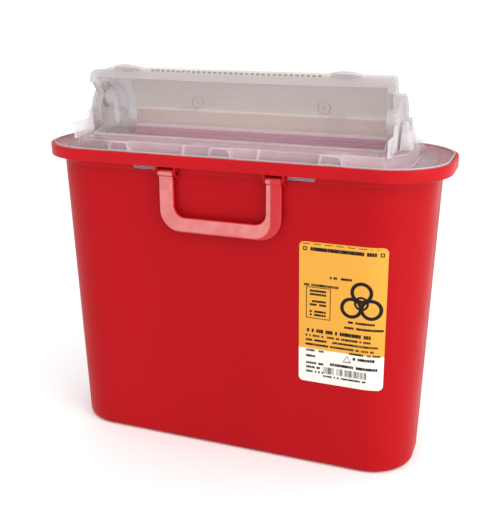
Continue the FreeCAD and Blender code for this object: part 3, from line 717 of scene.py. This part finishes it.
def bail_outline(handle):
    """Closed (x, z) outline of the U-shaped bail."""
    half = handle.span / 2
    foot = HANDLE_AXIS.z - handle.drop
    top = HANDLE_AXIS.z
    big = handle.corner
    small = big / 2
    bar = handle.bar
    outline = [(-half, top)]
    outline += arc(-half + big, foot + big, big, 180, 270, 14)
    outline += arc(half - big, foot + big, big, 270, 360, 14)
    outline += [(half, top), (half - bar, top)]
    outline += arc(half - bar - small, foot + bar + small, small, 360, 270, 12)
    outline += arc(-half + bar + small, foot + bar + small, small, 270, 180, 12)
    outline += [(-half + bar, top)]
    return outline


class SHARPS_OT_make_handle(Operator):
    """Carry handle with rounded edges, knuckles and pins."""
    bl_idname = "sharps.make_handle"
    bl_label = "Make Handle"

    def execute(self, context):
        handle = context.scene.sharps_handle
        # This material paints a pale sheen, a reflection of light, on the handle's front face.
        frosted = handle_red_with_painted_sheen("handle red with painted sheen", handle)
        bm = bmesh.new()
        front = HANDLE_AXIS.y - handle.sheet / 2
        prism(bm, bail_outline(handle), lambda x, z, depth: (x, front + depth, z), handle.sheet)
        bail = mesh_object("handle_bail", bm, [frosted])
        bevel(bail, handle.rounding, 4)
        shade(bail.data, 50.0)
        bm = bmesh.new()
        half = handle.span / 2
        reach = handle.ear_gap + handle.ear_sheet
        for side in (-1, 1):
            ends = sorted((side * (half - handle.bar), side * half))
            tube_x(bm, handle.knuckle, *ends, HANDLE_AXIS.y, HANDLE_AXIS.z)
            ends = sorted((side * (half - handle.bar - reach), side * (half + reach)))
            tube_x(bm, handle.pin, *ends, HANDLE_AXIS.y, HANDLE_AXIS.z)
        # The knuckles carry the same painted sheen.
        knuckles = mesh_object("handle_knuckles", bm, [frosted])
        bevel(knuckles, KNUCKLE_ROUND, 2, 60.0)
        shade(knuckles.data, 40.0)
        for piece in (bail, knuckles):
            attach(piece, "handle")
        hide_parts("carry_handle")
        return {"FINISHED"}


# ---- label ----

def label_edges(label, z):
    """Left and right end of the label at height z."""
    near = min(z - LABEL_LOW.z, LABEL_HIGH.z - z)
    inset = 0.0
    if near < label.corner:
        inset = label.corner - math.sqrt(max(label.corner ** 2 - (label.corner - near) ** 2, 0.0))
    return LABEL_LOW.x + inset, LABEL_HIGH.x - inset


def film_patch(bm, tub, label, levels, slot):
    """Film between heights, standing on the wall, with its edge closed."""
    rows = []
    for out in (label.sheet, 0.0):
        for z in levels:
            left, right = label_edges(label, z)
            row = []
            for column in range(LABEL_COLUMNS + 1):
                x = left + (right - left) * column / LABEL_COLUMNS
                row.append(bm.verts.new((x, front_y(tub, x, z) - out, z)))
            rows.append(row)
    count = len(levels)
    outer, inner = rows[:count], rows[count:]
    faces = []
    for grid, flip in ((outer, False), (inner, True)):
        for low, high in zip(grid, grid[1:]):
            for i in range(LABEL_COLUMNS):
                quad = [low[i], low[i + 1], high[i + 1], high[i]]
                faces.append(bm.faces.new(list(reversed(quad)) if flip else quad))
    for i in range(LABEL_COLUMNS):
        faces.append(bm.faces.new((outer[0][i + 1], outer[0][i], inner[0][i], inner[0][i + 1])))
        faces.append(bm.faces.new((outer[-1][i], outer[-1][i + 1], inner[-1][i + 1], inner[-1][i])))
    for i in range(count - 1):
        faces.append(bm.faces.new((outer[i][0], outer[i + 1][0], inner[i + 1][0], inner[i][0])))
        faces.append(bm.faces.new((outer[i + 1][-1], outer[i][-1], inner[i][-1], inner[i + 1][-1])))
    for face in faces:
        face.material_index = slot


def label_levels(label, low, high):
    """Heights of the film's rows, close together at the rounded corners."""
    levels = {low, high}
    for step in range(LABEL_CORNER_STEPS + 1):
        bend = label.corner * (1 - math.cos(math.pi / 2 * step / LABEL_CORNER_STEPS))
        for z in (LABEL_LOW.z + bend, LABEL_HIGH.z - bend):
            if low < z < high:
                levels.add(z)
    steps = max(int((high - low) / LABEL_ROW), 2)
    for step in range(1, steps):
        z = low + (high - low) * step / steps
        if LABEL_LOW.z + label.corner < z < LABEL_HIGH.z - label.corner:
            levels.add(z)
    return sorted(levels)


def print_row_tree():
    """Geometry Nodes: a row of small upright marks of uneven width, with gaps between groups."""
    name = "printed row"
    if name in bpy.data.node_groups:
        return bpy.data.node_groups[name]
    tree, given, made = geometry_group(
        name,
        [("Length", "NodeSocketFloat", 0.02), ("Height", "NodeSocketFloat", 0.0015),
         ("Pitch", "NodeSocketFloat", 0.001), ("Fill", "NodeSocketFloat", 0.7),
         ("Uneven", "NodeSocketFloat", 0.4), ("Gaps", "NodeSocketFloat", 0.15),
         ("Seed", "NodeSocketInt", 0), ("Material", "NodeSocketMaterial", None)])
    link = tree.links.new
    count = math_node(tree, "DIVIDE", given.outputs["Length"], given.outputs["Pitch"])
    line = tree.nodes.new("GeometryNodeMeshLine")
    link(count, line.inputs["Count"])
    step = tree.nodes.new("ShaderNodeCombineXYZ")
    link(given.outputs["Pitch"], step.inputs["X"])
    link(step.outputs["Vector"], line.inputs["Offset"])
    drop = tree.nodes.new("GeometryNodeDeleteGeometry")
    drop.domain = "POINT"
    chance = tree.nodes.new("FunctionNodeRandomValue")
    chance.data_type = "BOOLEAN"
    link(given.outputs["Gaps"], chance.inputs["Probability"])
    link(given.outputs["Seed"], chance.inputs["Seed"])
    link(line.outputs["Mesh"], drop.inputs["Geometry"])
    link(chance.outputs[3], drop.inputs["Selection"])
    mark = tree.nodes.new("GeometryNodeMeshGrid")
    mark.inputs["Vertices X"].default_value = 2
    mark.inputs["Vertices Y"].default_value = 2
    link(math_node(tree, "MULTIPLY", given.outputs["Pitch"], given.outputs["Fill"]), mark.inputs["Size X"])
    link(given.outputs["Height"], mark.inputs["Size Y"])
    spread = tree.nodes.new("GeometryNodeInstanceOnPoints")
    link(drop.outputs["Geometry"], spread.inputs["Points"])
    link(mark.outputs["Mesh"], spread.inputs["Instance"])
    width = tree.nodes.new("FunctionNodeRandomValue")
    width.data_type = "FLOAT"
    link(math_node(tree, "SUBTRACT", 1.0, given.outputs["Uneven"]), width.inputs[2])
    width.inputs[3].default_value = 1.15
    link(math_node(tree, "ADD", given.outputs["Seed"], 1.0), width.inputs["Seed"])
    scale = tree.nodes.new("ShaderNodeCombineXYZ")
    link(width.outputs[1], scale.inputs["X"])
    scale.inputs["Y"].default_value = 1.0
    scale.inputs["Z"].default_value = 1.0
    link(scale.outputs["Vector"], spread.inputs["Scale"])
    paint_and_end(tree, spread.outputs["Instances"], given, made)
    return tree


def grown(name, tree, values, source=None):
    """Mesh that a Geometry Nodes tree makes with the given inputs, from a source mesh if there is one."""
    holder = new_object(name, source.copy() if source else bpy.data.meshes.new(name))
    modifier = holder.modifiers.new("grown", "NODES")
    modifier.node_group = tree
    for item in tree.interface.items_tree:
        if item.item_type == "SOCKET" and item.in_out == "INPUT" and item.name in values:
            modifier[item.identifier] = values[item.name]
    return settle(holder)


def flat_quads(bm, quads):
    """Flat four-sided marks given as corner lists in (x, z)."""
    for corners in quads:
        bm.faces.new([bm.verts.new((x, z, 0.0)) for x, z in corners])


def outline_box(x0, x1, z0, z1, line):
    """Four strips round a box."""
    return [
        [(x0, z0), (x1, z0), (x1, z0 + line), (x0, z0 + line)],
        [(x0, z1 - line), (x1, z1 - line), (x1, z1), (x0, z1)],
        [(x0, z0 + line), (x0 + line, z0 + line), (x0 + line, z1 - line), (x0, z1 - line)],
        [(x1 - line, z0 + line), (x1, z0 + line), (x1, z1 - line), (x1 - line, z1 - line)],
    ]


def flat_ring(cx, cz, radius, line):
    """Strips round a circle."""
    inner = arc(cx, cz, radius - line / 2, 0, 360, CIRCLE_STEPS)
    outer = arc(cx, cz, radius + line / 2, 0, 360, CIRCLE_STEPS)
    return [[outer[i], outer[i + 1], inner[i + 1], inner[i]] for i in range(CIRCLE_STEPS)]


def triangle_sign(cx, cz, size, line):
    """Outline of a small triangle."""
    corners = [(cx - size, cz - size * 0.8), (cx + size, cz - size * 0.8), (cx, cz + size)]
    shrink = 1 - line / size * 1.6
    inner = [(cx + (x - cx) * shrink, cz + (z - cz) * shrink) for x, z in corners]
    quads = []
    for i in range(3):
        j = (i + 1) % 3
        quads.append([corners[i], corners[j], inner[j], inner[i]])
    return quads


class SHARPS_OT_make_label(Operator):
    """Label film with an amber field, a white band and generic print."""
    bl_idname = "sharps.make_label"
    bl_label = "Make Label"

    def execute(self, context):
        tub = context.scene.sharps_tub
        label = context.scene.sharps_label
        amber = film("label amber film", label.amber, 0.05)
        white = film("label white film", label.white, 0.03)
        ink = film("label ink", label.ink, 0.0)
        bm = bmesh.new()
        film_patch(bm, tub, label, label_levels(label, label.band, LABEL_HIGH.z), 0)
        film_patch(bm, tub, label, label_levels(label, LABEL_LOW.z, label.band), 1)
        sheet = mesh_object("label_film", bm, [amber, white], 40.0)
        marks = self.print_marks(label, ink)
        for vert in marks.data.vertices:
            x, z = vert.co.x, vert.co.y
            vert.co = (x, front_y(tub, x, z) - label.sheet - label.ink_sheet, z)
        for piece in (sheet, marks):
            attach(piece, "container")
        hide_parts("front_label")
        return {"FINISHED"}

    def print_marks(self, label, ink):
        """All the dark print as flat faces, before it is laid on the wall."""
        left = LABEL_LOW.x
        top = LABEL_HIGH.z
        tree = print_row_tree()
        bm = bmesh.new()
        for index, (x, depth, reach, height, style) in enumerate(PRINT_ROWS):
            pitch, fill, uneven, gaps = PRINT_STYLES[style]
            made = grown("row", tree, {"Length": reach, "Height": height, "Pitch": pitch, "Fill": fill,
                                       "Uneven": uneven, "Gaps": gaps, "Seed": label.seed + 3 * index,
                                       "Material": ink})
            made.data.transform(Matrix.Translation((left + x + pitch / 2, top - depth, 0.0)))
            bm.from_mesh(made.data)
            bpy.data.objects.remove(made)
        x0, x1, foot, head = BOX_PLACE
        flat_quads(bm, outline_box(left + x0, left + x1, top - foot, top - head, BOX_LINE))
        for x in ICON_PLACES:
            flat_quads(bm, outline_box(left + x, left + x + ICON_SIZE, top - ICON_FOOT, top - ICON_HEAD,
                                       ICON_LINE))
        cx, cz = left + EMBLEM_X, top - EMBLEM_DEPTH
        for turn in (90, 210, 330):
            x, z = arc(cx, cz, EMBLEM_REACH, turn, turn + 1, 1)[0]
            flat_quads(bm, flat_ring(x, z, *OUTER_RING))
        flat_quads(bm, flat_ring(cx, cz, *CENTRE_RING))
        flat_quads(bm, triangle_sign(left + TRIANGLE_X, top - TRIANGLE_DEPTH, TRIANGLE_SIZE, TRIANGLE_LINE))
        return mesh_object("label_print", bm, [ink])


# Signs on the label: places from its left edge, depths under its top edge, sizes and line widths.
BOX_PLACE = (0.0052, 0.0229, 0.0568, 0.0329)    # left, right, foot, head
BOX_LINE = 0.0005
ICON_PLACES = (0.0028, 0.0560)
ICON_SIZE = 0.0028
ICON_FOOT = 0.0064
ICON_HEAD = 0.0036
ICON_LINE = 0.0007
EMBLEM_X = 0.0445
EMBLEM_DEPTH = 0.0412
EMBLEM_REACH = 0.0080
OUTER_RING = (0.0066, 0.0025)                   # radius, line
CENTRE_RING = (0.0044, 0.0016)
TRIANGLE_X = 0.0355
TRIANGLE_DEPTH = 0.0853
TRIANGLE_SIZE = 0.0030
TRIANGLE_LINE = 0.0005
# Styles of printed rows: pitch, fill, unevenness, share of gaps.
PRINT_STYLES = {
    "dash": (0.0079, 0.6, 0.0, 0.0),
    "bold": (0.0017, 0.92, 0.18, 0.12),
    "text": (0.0013, 0.90, 0.25, 0.14),
    "bars": (0.0009, 0.70, 0.80, 0.05),
}
# Printed rows: start, depth under the label's top, length, height of the marks, style.
PRINT_ROWS = [
    (0.0010, 0.0014, 0.0595, 0.0005, "dash"),
    (0.0080, 0.0050, 0.0470, 0.0026, "bold"),
    (0.0220, 0.0247, 0.0160, 0.0017, "text"),
    (0.0035, 0.0315, 0.0270, 0.0018, "text"),
    (0.0078, 0.0358, 0.0125, 0.0016, "bold"),
    (0.0078, 0.0384, 0.0125, 0.0016, "bold"),
    (0.0078, 0.0436, 0.0125, 0.0016, "bold"),
    (0.0078, 0.0462, 0.0125, 0.0016, "bold"),
    (0.0078, 0.0514, 0.0125, 0.0016, "bold"),
    (0.0078, 0.0540, 0.0125, 0.0016, "bold"),
    (0.0356, 0.0562, 0.0195, 0.0017, "bold"),
    (0.0330, 0.0605, 0.0285, 0.0017, "bold"),
    (0.0060, 0.0662, 0.0460, 0.0027, "bold"),
    (0.0050, 0.0702, 0.0470, 0.0016, "text"),
    (0.0050, 0.0737, 0.0520, 0.0016, "text"),
    (0.0050, 0.0772, 0.0510, 0.0016, "text"),
    (0.0055, 0.0819, 0.0152, 0.0016, "text"),
    (0.0367, 0.0803, 0.0225, 0.0016, "text"),
    (0.0055, 0.0864, 0.0072, 0.0017, "bold"),
    (0.0397, 0.0841, 0.0185, 0.0021, "bold"),
    (0.0055, 0.0920, 0.0130, 0.0017, "text"),
    (0.0055, 0.0954, 0.0130, 0.0017, "text"),
    (0.0055, 0.0988, 0.0130, 0.0017, "text"),
    (0.0233, 0.0910, 0.0340, 0.0021, "bold"),
    (0.0182, 0.0964, 0.0315, 0.0053, "bars"),
    (0.0182, 0.1012, 0.0315, 0.0014, "text"),
]


# ---- clear lid and door ----

def cleaned_copy(node):
    """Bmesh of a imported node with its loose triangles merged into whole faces."""
    bm = bmesh.new()
    bm.from_mesh(frame["nodes"][node].data)
    bmesh.ops.remove_doubles(bm, verts=bm.verts[:], dist=MERGE)
    bmesh.ops.dissolve_limit(bm, angle_limit=math.radians(FLAT_ANGLE), verts=bm.verts[:], edges=bm.edges[:],
                             use_dissolve_boundaries=False)
    for face in bm.faces:
        face.material_index = 0
    return bm


def slice_up(bm, normal, places):
    """Cut every face along parallel planes, leaving the skin closed."""
    for place in places:
        bmesh.ops.bisect_plane(bm, geom=bm.verts[:] + bm.edges[:] + bm.faces[:], dist=PLANE_NEAR,
                               plane_co=Vector(normal) * place, plane_no=Vector(normal))


def hang_lip(clear, bm):
    """Let the door's roof and lip hang down in the middle, as the long thin moulding does."""
    places = [DOOR_HIGH.x * (2 * step / LIP_STEPS - 1) for step in range(1, LIP_STEPS)]
    slice_up(bm, (1.0, 0.0, 0.0), places)
    start = DOOR_AXIS.y - clear.sag_hinge
    for vert in bm.verts:
        across = vert.co.x / DOOR_HIGH.x
        forward = (start - vert.co.y) / (start - DOOR_LOW.y)
        if vert.co.z > DOOR_AXIS.z + clear.sag_from and forward > 0.0:
            shape = (1 - across ** 2) * (1 + clear.sag_skew * across)
            vert.co.z -= clear.sag * shape * min(forward, 1.0)


def gate_mark_tree():
    """Geometry Nodes: round gate marks with a centre dot, standing side by side on a drum."""
    name = "gate marks"
    if name in bpy.data.node_groups:
        return bpy.data.node_groups[name]
    tree, given, made = geometry_group(
        name,
        [("Radius", "NodeSocketFloat", 0.0047), ("Bead", "NodeSocketFloat", 0.0003),
         ("Spacing", "NodeSocketFloat", 0.1), ("Material", "NodeSocketMaterial", None)])
    link = tree.links.new
    circle = tree.nodes.new("GeometryNodeCurvePrimitiveCircle")
    circle.inputs["Resolution"].default_value = 40
    link(given.outputs["Radius"], circle.inputs["Radius"])
    profile = tree.nodes.new("GeometryNodeCurvePrimitiveCircle")
    profile.inputs["Resolution"].default_value = 8
    link(given.outputs["Bead"], profile.inputs["Radius"])
    bead = tree.nodes.new("GeometryNodeCurveToMesh")
    link(circle.outputs["Curve"], bead.inputs["Curve"])
    link(profile.outputs["Curve"], bead.inputs["Profile Curve"])
    dot = tree.nodes.new("GeometryNodeMeshIcoSphere")
    dot.inputs["Subdivisions"].default_value = 2
    link(math_node(tree, "MULTIPLY", given.outputs["Bead"], 2.0), dot.inputs["Radius"])
    both = tree.nodes.new("GeometryNodeJoinGeometry")
    link(bead.outputs["Mesh"], both.inputs["Geometry"])
    link(dot.outputs["Mesh"], both.inputs["Geometry"])
    line = tree.nodes.new("GeometryNodeMeshLine")
    line.inputs["Count"].default_value = 2
    step = tree.nodes.new("ShaderNodeCombineXYZ")
    link(given.outputs["Spacing"], step.inputs["X"])
    link(step.outputs["Vector"], line.inputs["Offset"])
    spread = tree.nodes.new("GeometryNodeInstanceOnPoints")
    link(line.outputs["Mesh"], spread.inputs["Points"])
    link(both.outputs["Geometry"], spread.inputs["Instance"])
    paint_and_end(tree, spread.outputs["Instances"], given, made)
    return tree


def painted_highlight_tree():
    """Geometry Nodes: a thin painted highlight line just under the skin along every sharp edge of a moulding.
    """
    name = "edge lines"
    if name in bpy.data.node_groups:
        return bpy.data.node_groups[name]
    tree, given, made = geometry_group(
        name,
        [("Geometry", "NodeSocketGeometry", None), ("Radius", "NodeSocketFloat", 0.0003),
         ("Inset", "NodeSocketFloat", 0.0004), ("Angle", "NodeSocketFloat", 0.56),
         ("Material", "NodeSocketMaterial", None)])
    link = tree.links.new
    normal = tree.nodes.new("GeometryNodeInputNormal")
    back = tree.nodes.new("ShaderNodeVectorMath")
    back.operation = "SCALE"
    link(normal.outputs["Normal"], back.inputs[0])
    link(math_node(tree, "MULTIPLY", given.outputs["Inset"], -1.0), back.inputs["Scale"])
    angle = tree.nodes.new("GeometryNodeInputMeshEdgeAngle")
    sharp = tree.nodes.new("FunctionNodeCompare")
    sharp.data_type = "FLOAT"
    sharp.operation = "GREATER_THAN"
    link(angle.outputs["Unsigned Angle"], sharp.inputs[0])
    link(given.outputs["Angle"], sharp.inputs[1])
    curve = tree.nodes.new("GeometryNodeMeshToCurve")
    sink = tree.nodes.new("GeometryNodeSetPosition")
    keep = tree.nodes.new("GeometryNodeCaptureAttribute")
    keep.capture_items.new("VECTOR", "Back")
    link(given.outputs["Geometry"], keep.inputs["Geometry"])
    link(back.outputs["Vector"], keep.inputs["Back"])
    link(keep.outputs["Geometry"], curve.inputs["Mesh"])
    link(sharp.outputs["Result"], curve.inputs["Selection"])
    link(curve.outputs["Curve"], sink.inputs["Geometry"])
    link(keep.outputs["Back"], sink.inputs["Offset"])
    profile = tree.nodes.new("GeometryNodeCurvePrimitiveCircle")
    profile.inputs["Resolution"].default_value = 6
    link(given.outputs["Radius"], profile.inputs["Radius"])
    tube = tree.nodes.new("GeometryNodeCurveToMesh")
    tube.inputs["Fill Caps"].default_value = True
    link(sink.outputs["Geometry"], tube.inputs["Curve"])
    link(profile.outputs["Curve"], tube.inputs["Profile Curve"])
    paint_and_end(tree, tube.outputs["Mesh"], given, made)
    return tree


def painted_highlight_lines(name, source, clear, material, plain):
    """Painted highlight lines inside the sharp edges of a clear moulding, apart from the places called plain.
    """
    bm = bmesh.new()
    bm.from_mesh(source.data)
    bmesh.ops.delete(bm, geom=[face for face in bm.faces if plain(face)], context="FACES")
    mesh = bpy.data.meshes.new(name)
    bm.to_mesh(mesh)
    bm.free()
    lines = grown(name, painted_highlight_tree(), {"Radius": clear.glow, "Inset": clear.glow_inset,
                                           "Angle": math.radians(CLEAR_SHARP), "Material": material}, mesh)
    shade(lines.data, 60.0)
    return lines


class SHARPS_OT_make_lid(Operator):
    """Hazy clear lid with painted highlight lines along its edges, and brighter posts and guards."""
    bl_idname = "sharps.make_lid"
    bl_label = "Make Lid"

    def execute(self, context):
        clear = context.scene.sharps_clear
        skin = clear_plastic("lid clear plastic", clear.lid_haze, clear.edge_haze, clear.lid_alpha)
        thick = clear_plastic("lid thick plastic", clear.edge_haze, clear.edge_haze, clear.guard_alpha)
        # Material of the painted edge highlights.
        edge = clear_plastic("lid painted edge highlight", clear.edge_haze, clear.edge_haze, clear.edge_alpha)
        bm = cleaned_copy("lid_cover")
        bmesh.ops.recalc_face_normals(bm, faces=bm.faces[:])
        for face in bm.faces:
            if face.calc_center_median().z > clear.deck + clear.deck_highlight_strip:
                face.material_index = 1
        lid = mesh_object("lid_shell", bm, [skin, thick], CLEAR_SHARP)
        # Painted highlight lines along the lid's sharp edges.
        lines = painted_highlight_lines("lid_painted_highlights", lid, clear, edge,
                           lambda face: face.calc_center_median().z < RIM_LOW.z + DECK_NEAR
                           or face.normal.z > FACING_UP
                           and abs(face.calc_center_median().z - clear.deck) < DECK_NEAR)
        for piece in (lid, lines):
            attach(piece, "container")
        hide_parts("lid_cover")
        return {"FINISHED"}


def door_zone(clear, spot):
    """Which of the door's plastics a place has; END covers the lip too."""
    rise = spot.z - DOOR_AXIS.z
    # The toothed grip, painted dark for the shade between its teeth.
    if rise > clear.lip_top and abs(spot.x) < clear.grip_half:
        return GRIP
    if abs(spot.x) > clear.end_from:
        return END
    if spot.y < DOOR_LOW.y + clear.lip_depth and rise > clear.sag_from:
        return END
    # Below the deck: clearer drum, painted pink with reflected red light.
    if spot.z < clear.deck:
        return DRUM
    # Behind the axis and below the crease: a painted highlight strip at the deck, above it a band painted
    # lighter.
    if spot.y > DOOR_AXIS.y and spot.z < clear.crease:
        return BEAD if spot.z < clear.deck + clear.deck_highlight_strip else BACK
    return HOOD


class SHARPS_OT_make_door(Operator):
    """Frosted rotary door with painted highlight lines along its edges, a clearer drum painted pink with
    reflected red light, a back band painted lighter, a grip painted dark for shade, gate marks and a hanging
    lip.
    """
    bl_idname = "sharps.make_door"
    bl_label = "Make Door"

    def execute(self, context):
        clear = context.scene.sharps_clear
        skin = clear_plastic("door clear plastic", clear.door_haze, clear.edge_haze, clear.door_alpha)
        # Material of the painted edge highlights and of the highlight strip at the deck.
        edge = clear_plastic("door painted edge highlight", clear.edge_haze, clear.edge_haze, clear.edge_alpha)
        # Clearer drum, painted pink with reflected red light from the tub.
        low = clear_plastic("door drum painted red bounce", clear.drum_painted_red_bounce, clear.edge_haze, clear.drum_alpha)
        # The back band, painted lighter.
        back = clear_plastic("door back painted lighter", clear.back_painted_light, clear.edge_haze, clear.door_alpha)
        end = clear_plastic("door end plastic", clear.end_haze, clear.edge_haze, clear.end_alpha)
        # The grip's material paints shade into its colour.
        grip = clear_plastic("door grip painted shade", clear.grip_painted_shade, clear.grip_painted_shade, clear.edge_alpha)
        bm = cleaned_copy("rotary_door")
        bmesh.ops.triangulate(bm, faces=bm.faces[:])
        slice_up(bm, (1.0, 0.0, 0.0), (-clear.end_from, clear.end_from))
        slice_up(bm, (0.0, 0.0, 1.0), (clear.deck, clear.deck + clear.deck_highlight_strip, clear.crease))
        for face in bm.faces:
            face.material_index = door_zone(clear, face.calc_center_median())
        hang_lip(clear, bm)
        bmesh.ops.recalc_face_normals(bm, faces=bm.faces[:])
        door = mesh_object("door_shell", bm, [skin, edge, low, back, end, grip], CLEAR_SHARP)
        # Painted highlight lines along the door's sharp edges.
        lines = painted_highlight_lines("door_painted_highlights", door, clear, edge,
                           lambda face: face.material_index == GRIP
                           or face.calc_center_median().z < clear.deck + GRIP_NEAR)
        marks = grown("door_gate_marks", gate_mark_tree(),
                      {"Radius": clear.gate_radius, "Bead": GATE_BEAD, "Spacing": 2 * clear.gate_place,
                       "Material": skin})
        tilt = math.atan2(GATE_Z - DOOR_AXIS.z, GATE_Y - DOOR_AXIS.y)
        lift = Matrix.Translation((-clear.gate_place, 0.0, clear.drum))
        turn = Matrix.Rotation(tilt - math.pi / 2, 4, "X")
        marks.data.transform(Matrix.Translation(DOOR_AXIS) @ turn @ lift)
        shade(marks.data, 60.0)
        for piece in (door, lines, marks):
            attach(piece, "door")
        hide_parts("rotary_door")
        return {"FINISHED"}


# ---- stage ----

def soft_light(name, place, target, size, power):
    """Square soft light aimed at a point."""
    data = bpy.data.lights.new(name, "AREA")
    data.size = size
    data.energy = power
    lamp = new_object(name, data)
    lamp.location = place
    lamp.rotation_euler = (Vector(target) - Vector(place)).to_track_quat("-Z", "Y").to_euler()
    return lamp


class SHARPS_OT_make_stage(Operator):
    """Pale floor, soft studio light and the camera."""
    bl_idname = "sharps.make_stage"
    bl_label = "Make Stage"

    def execute(self, context):
        scene = context.scene
        bm = bmesh.new()
        bmesh.ops.create_grid(bm, x_segments=2, y_segments=2, size=FLOOR_HALF)
        material, shader, _ = surface("pale floor", printed_film(), {"Colour": FLOOR_COLOUR, "Mottle": 0.0},
                                      0.0001, bump=False)
        shader.inputs["Specular IOR Level"].default_value = 0.1
        floor = mesh_object("stage_floor", bm, [material])
        floor.location.z = -FLOOR_DROP

        world = bpy.data.worlds.new("soft room")
        world.use_nodes = True
        sky = world.node_tree.nodes["Background"]
        sky.inputs["Color"].default_value = WHITE
        sky.inputs["Strength"].default_value = 1.0
        scene.world = world
        scene.view_settings.view_transform = "Standard"

        sun = bpy.data.lights.new("soft overhead", "SUN")
        sun.energy = SUN_POWER
        sun.angle = math.radians(SUN_SPREAD)
        lamp = new_object("soft_overhead", sun)
        lamp.rotation_euler = (math.radians(SUN_TURN[0]), math.radians(SUN_TURN[1]), 0.0)
        soft_light("right_softbox", SOFTBOX_PLACE, SOFTBOX_AIM, SOFTBOX_SIZE, SOFTBOX_POWER)

        lens = bpy.data.cameras.new("studio camera")
        lens.lens = LENS
        lens.sensor_width = SENSOR
        lens.clip_start, lens.clip_end = CLIP
        camera = new_object("studio_camera", lens)
        camera.location = CAMERA_PLACE
        aim = Vector(CAMERA_AIM) - camera.location
        camera.rotation_euler = aim.to_track_quat("-Z", "Y").to_euler()
        scene.camera = camera
        return {"FINISHED"}


class SHARPS_PT_panel(Panel):
    """Lists the container's pieces in the 3D view's sidebar."""
    bl_label = "Sharps Container"
    bl_idname = "SHARPS_PT_panel"
    bl_space_type = "VIEW_3D"
    bl_region_type = "UI"
    bl_category = "Sharps Container"

    def draw(self, context):
        for name, group, maker in PANEL_ROWS:
            box = self.layout.box()
            if group:
                props = getattr(context.scene, group)
                for key in props.__annotations__:
                    box.prop(props, key)
            box.operator(maker, text=name)


PANEL_ROWS = [
    ("Tub", "sharps_tub", "sharps.make_tub"),
    ("Handle", "sharps_handle", "sharps.make_handle"),
    ("Label", "sharps_label", "sharps.make_label"),
    ("Lid", "sharps_clear", "sharps.make_lid"),
    ("Door", None, "sharps.make_door"),
    ("Stage", None, "sharps.make_stage"),
]
GROUPS = {"sharps_tub": TubSizes, "sharps_handle": HandleSizes, "sharps_clear": ClearSizes,
          "sharps_label": LabelSizes}
CLASSES = [SHARPS_OT_make_tub, SHARPS_OT_make_handle, SHARPS_OT_make_label, SHARPS_OT_make_lid,
           SHARPS_OT_make_door, SHARPS_OT_make_stage, SHARPS_PT_panel]


def register():
    """Register the classes and put the sizes on the scene."""
    for key, group in GROUPS.items():
        bpy.utils.register_class(group)
        setattr(bpy.types.Scene, key, PointerProperty(type=group))
    for item in CLASSES:
        bpy.utils.register_class(item)


def unregister():
    """Take the classes and the sizes away again."""
    for item in reversed(CLASSES):
        bpy.utils.unregister_class(item)
    for key, group in GROUPS.items():
        delattr(bpy.types.Scene, key)
        bpy.utils.unregister_class(group)


def main():
    """Build every piece in order."""
    register()
    bpy.ops.sharps.make_tub()
    bpy.ops.sharps.make_handle()
    bpy.ops.sharps.make_label()
    bpy.ops.sharps.make_lid()
    bpy.ops.sharps.make_door()
    bpy.ops.sharps.make_stage()


if __name__ == "__main__":
    main()
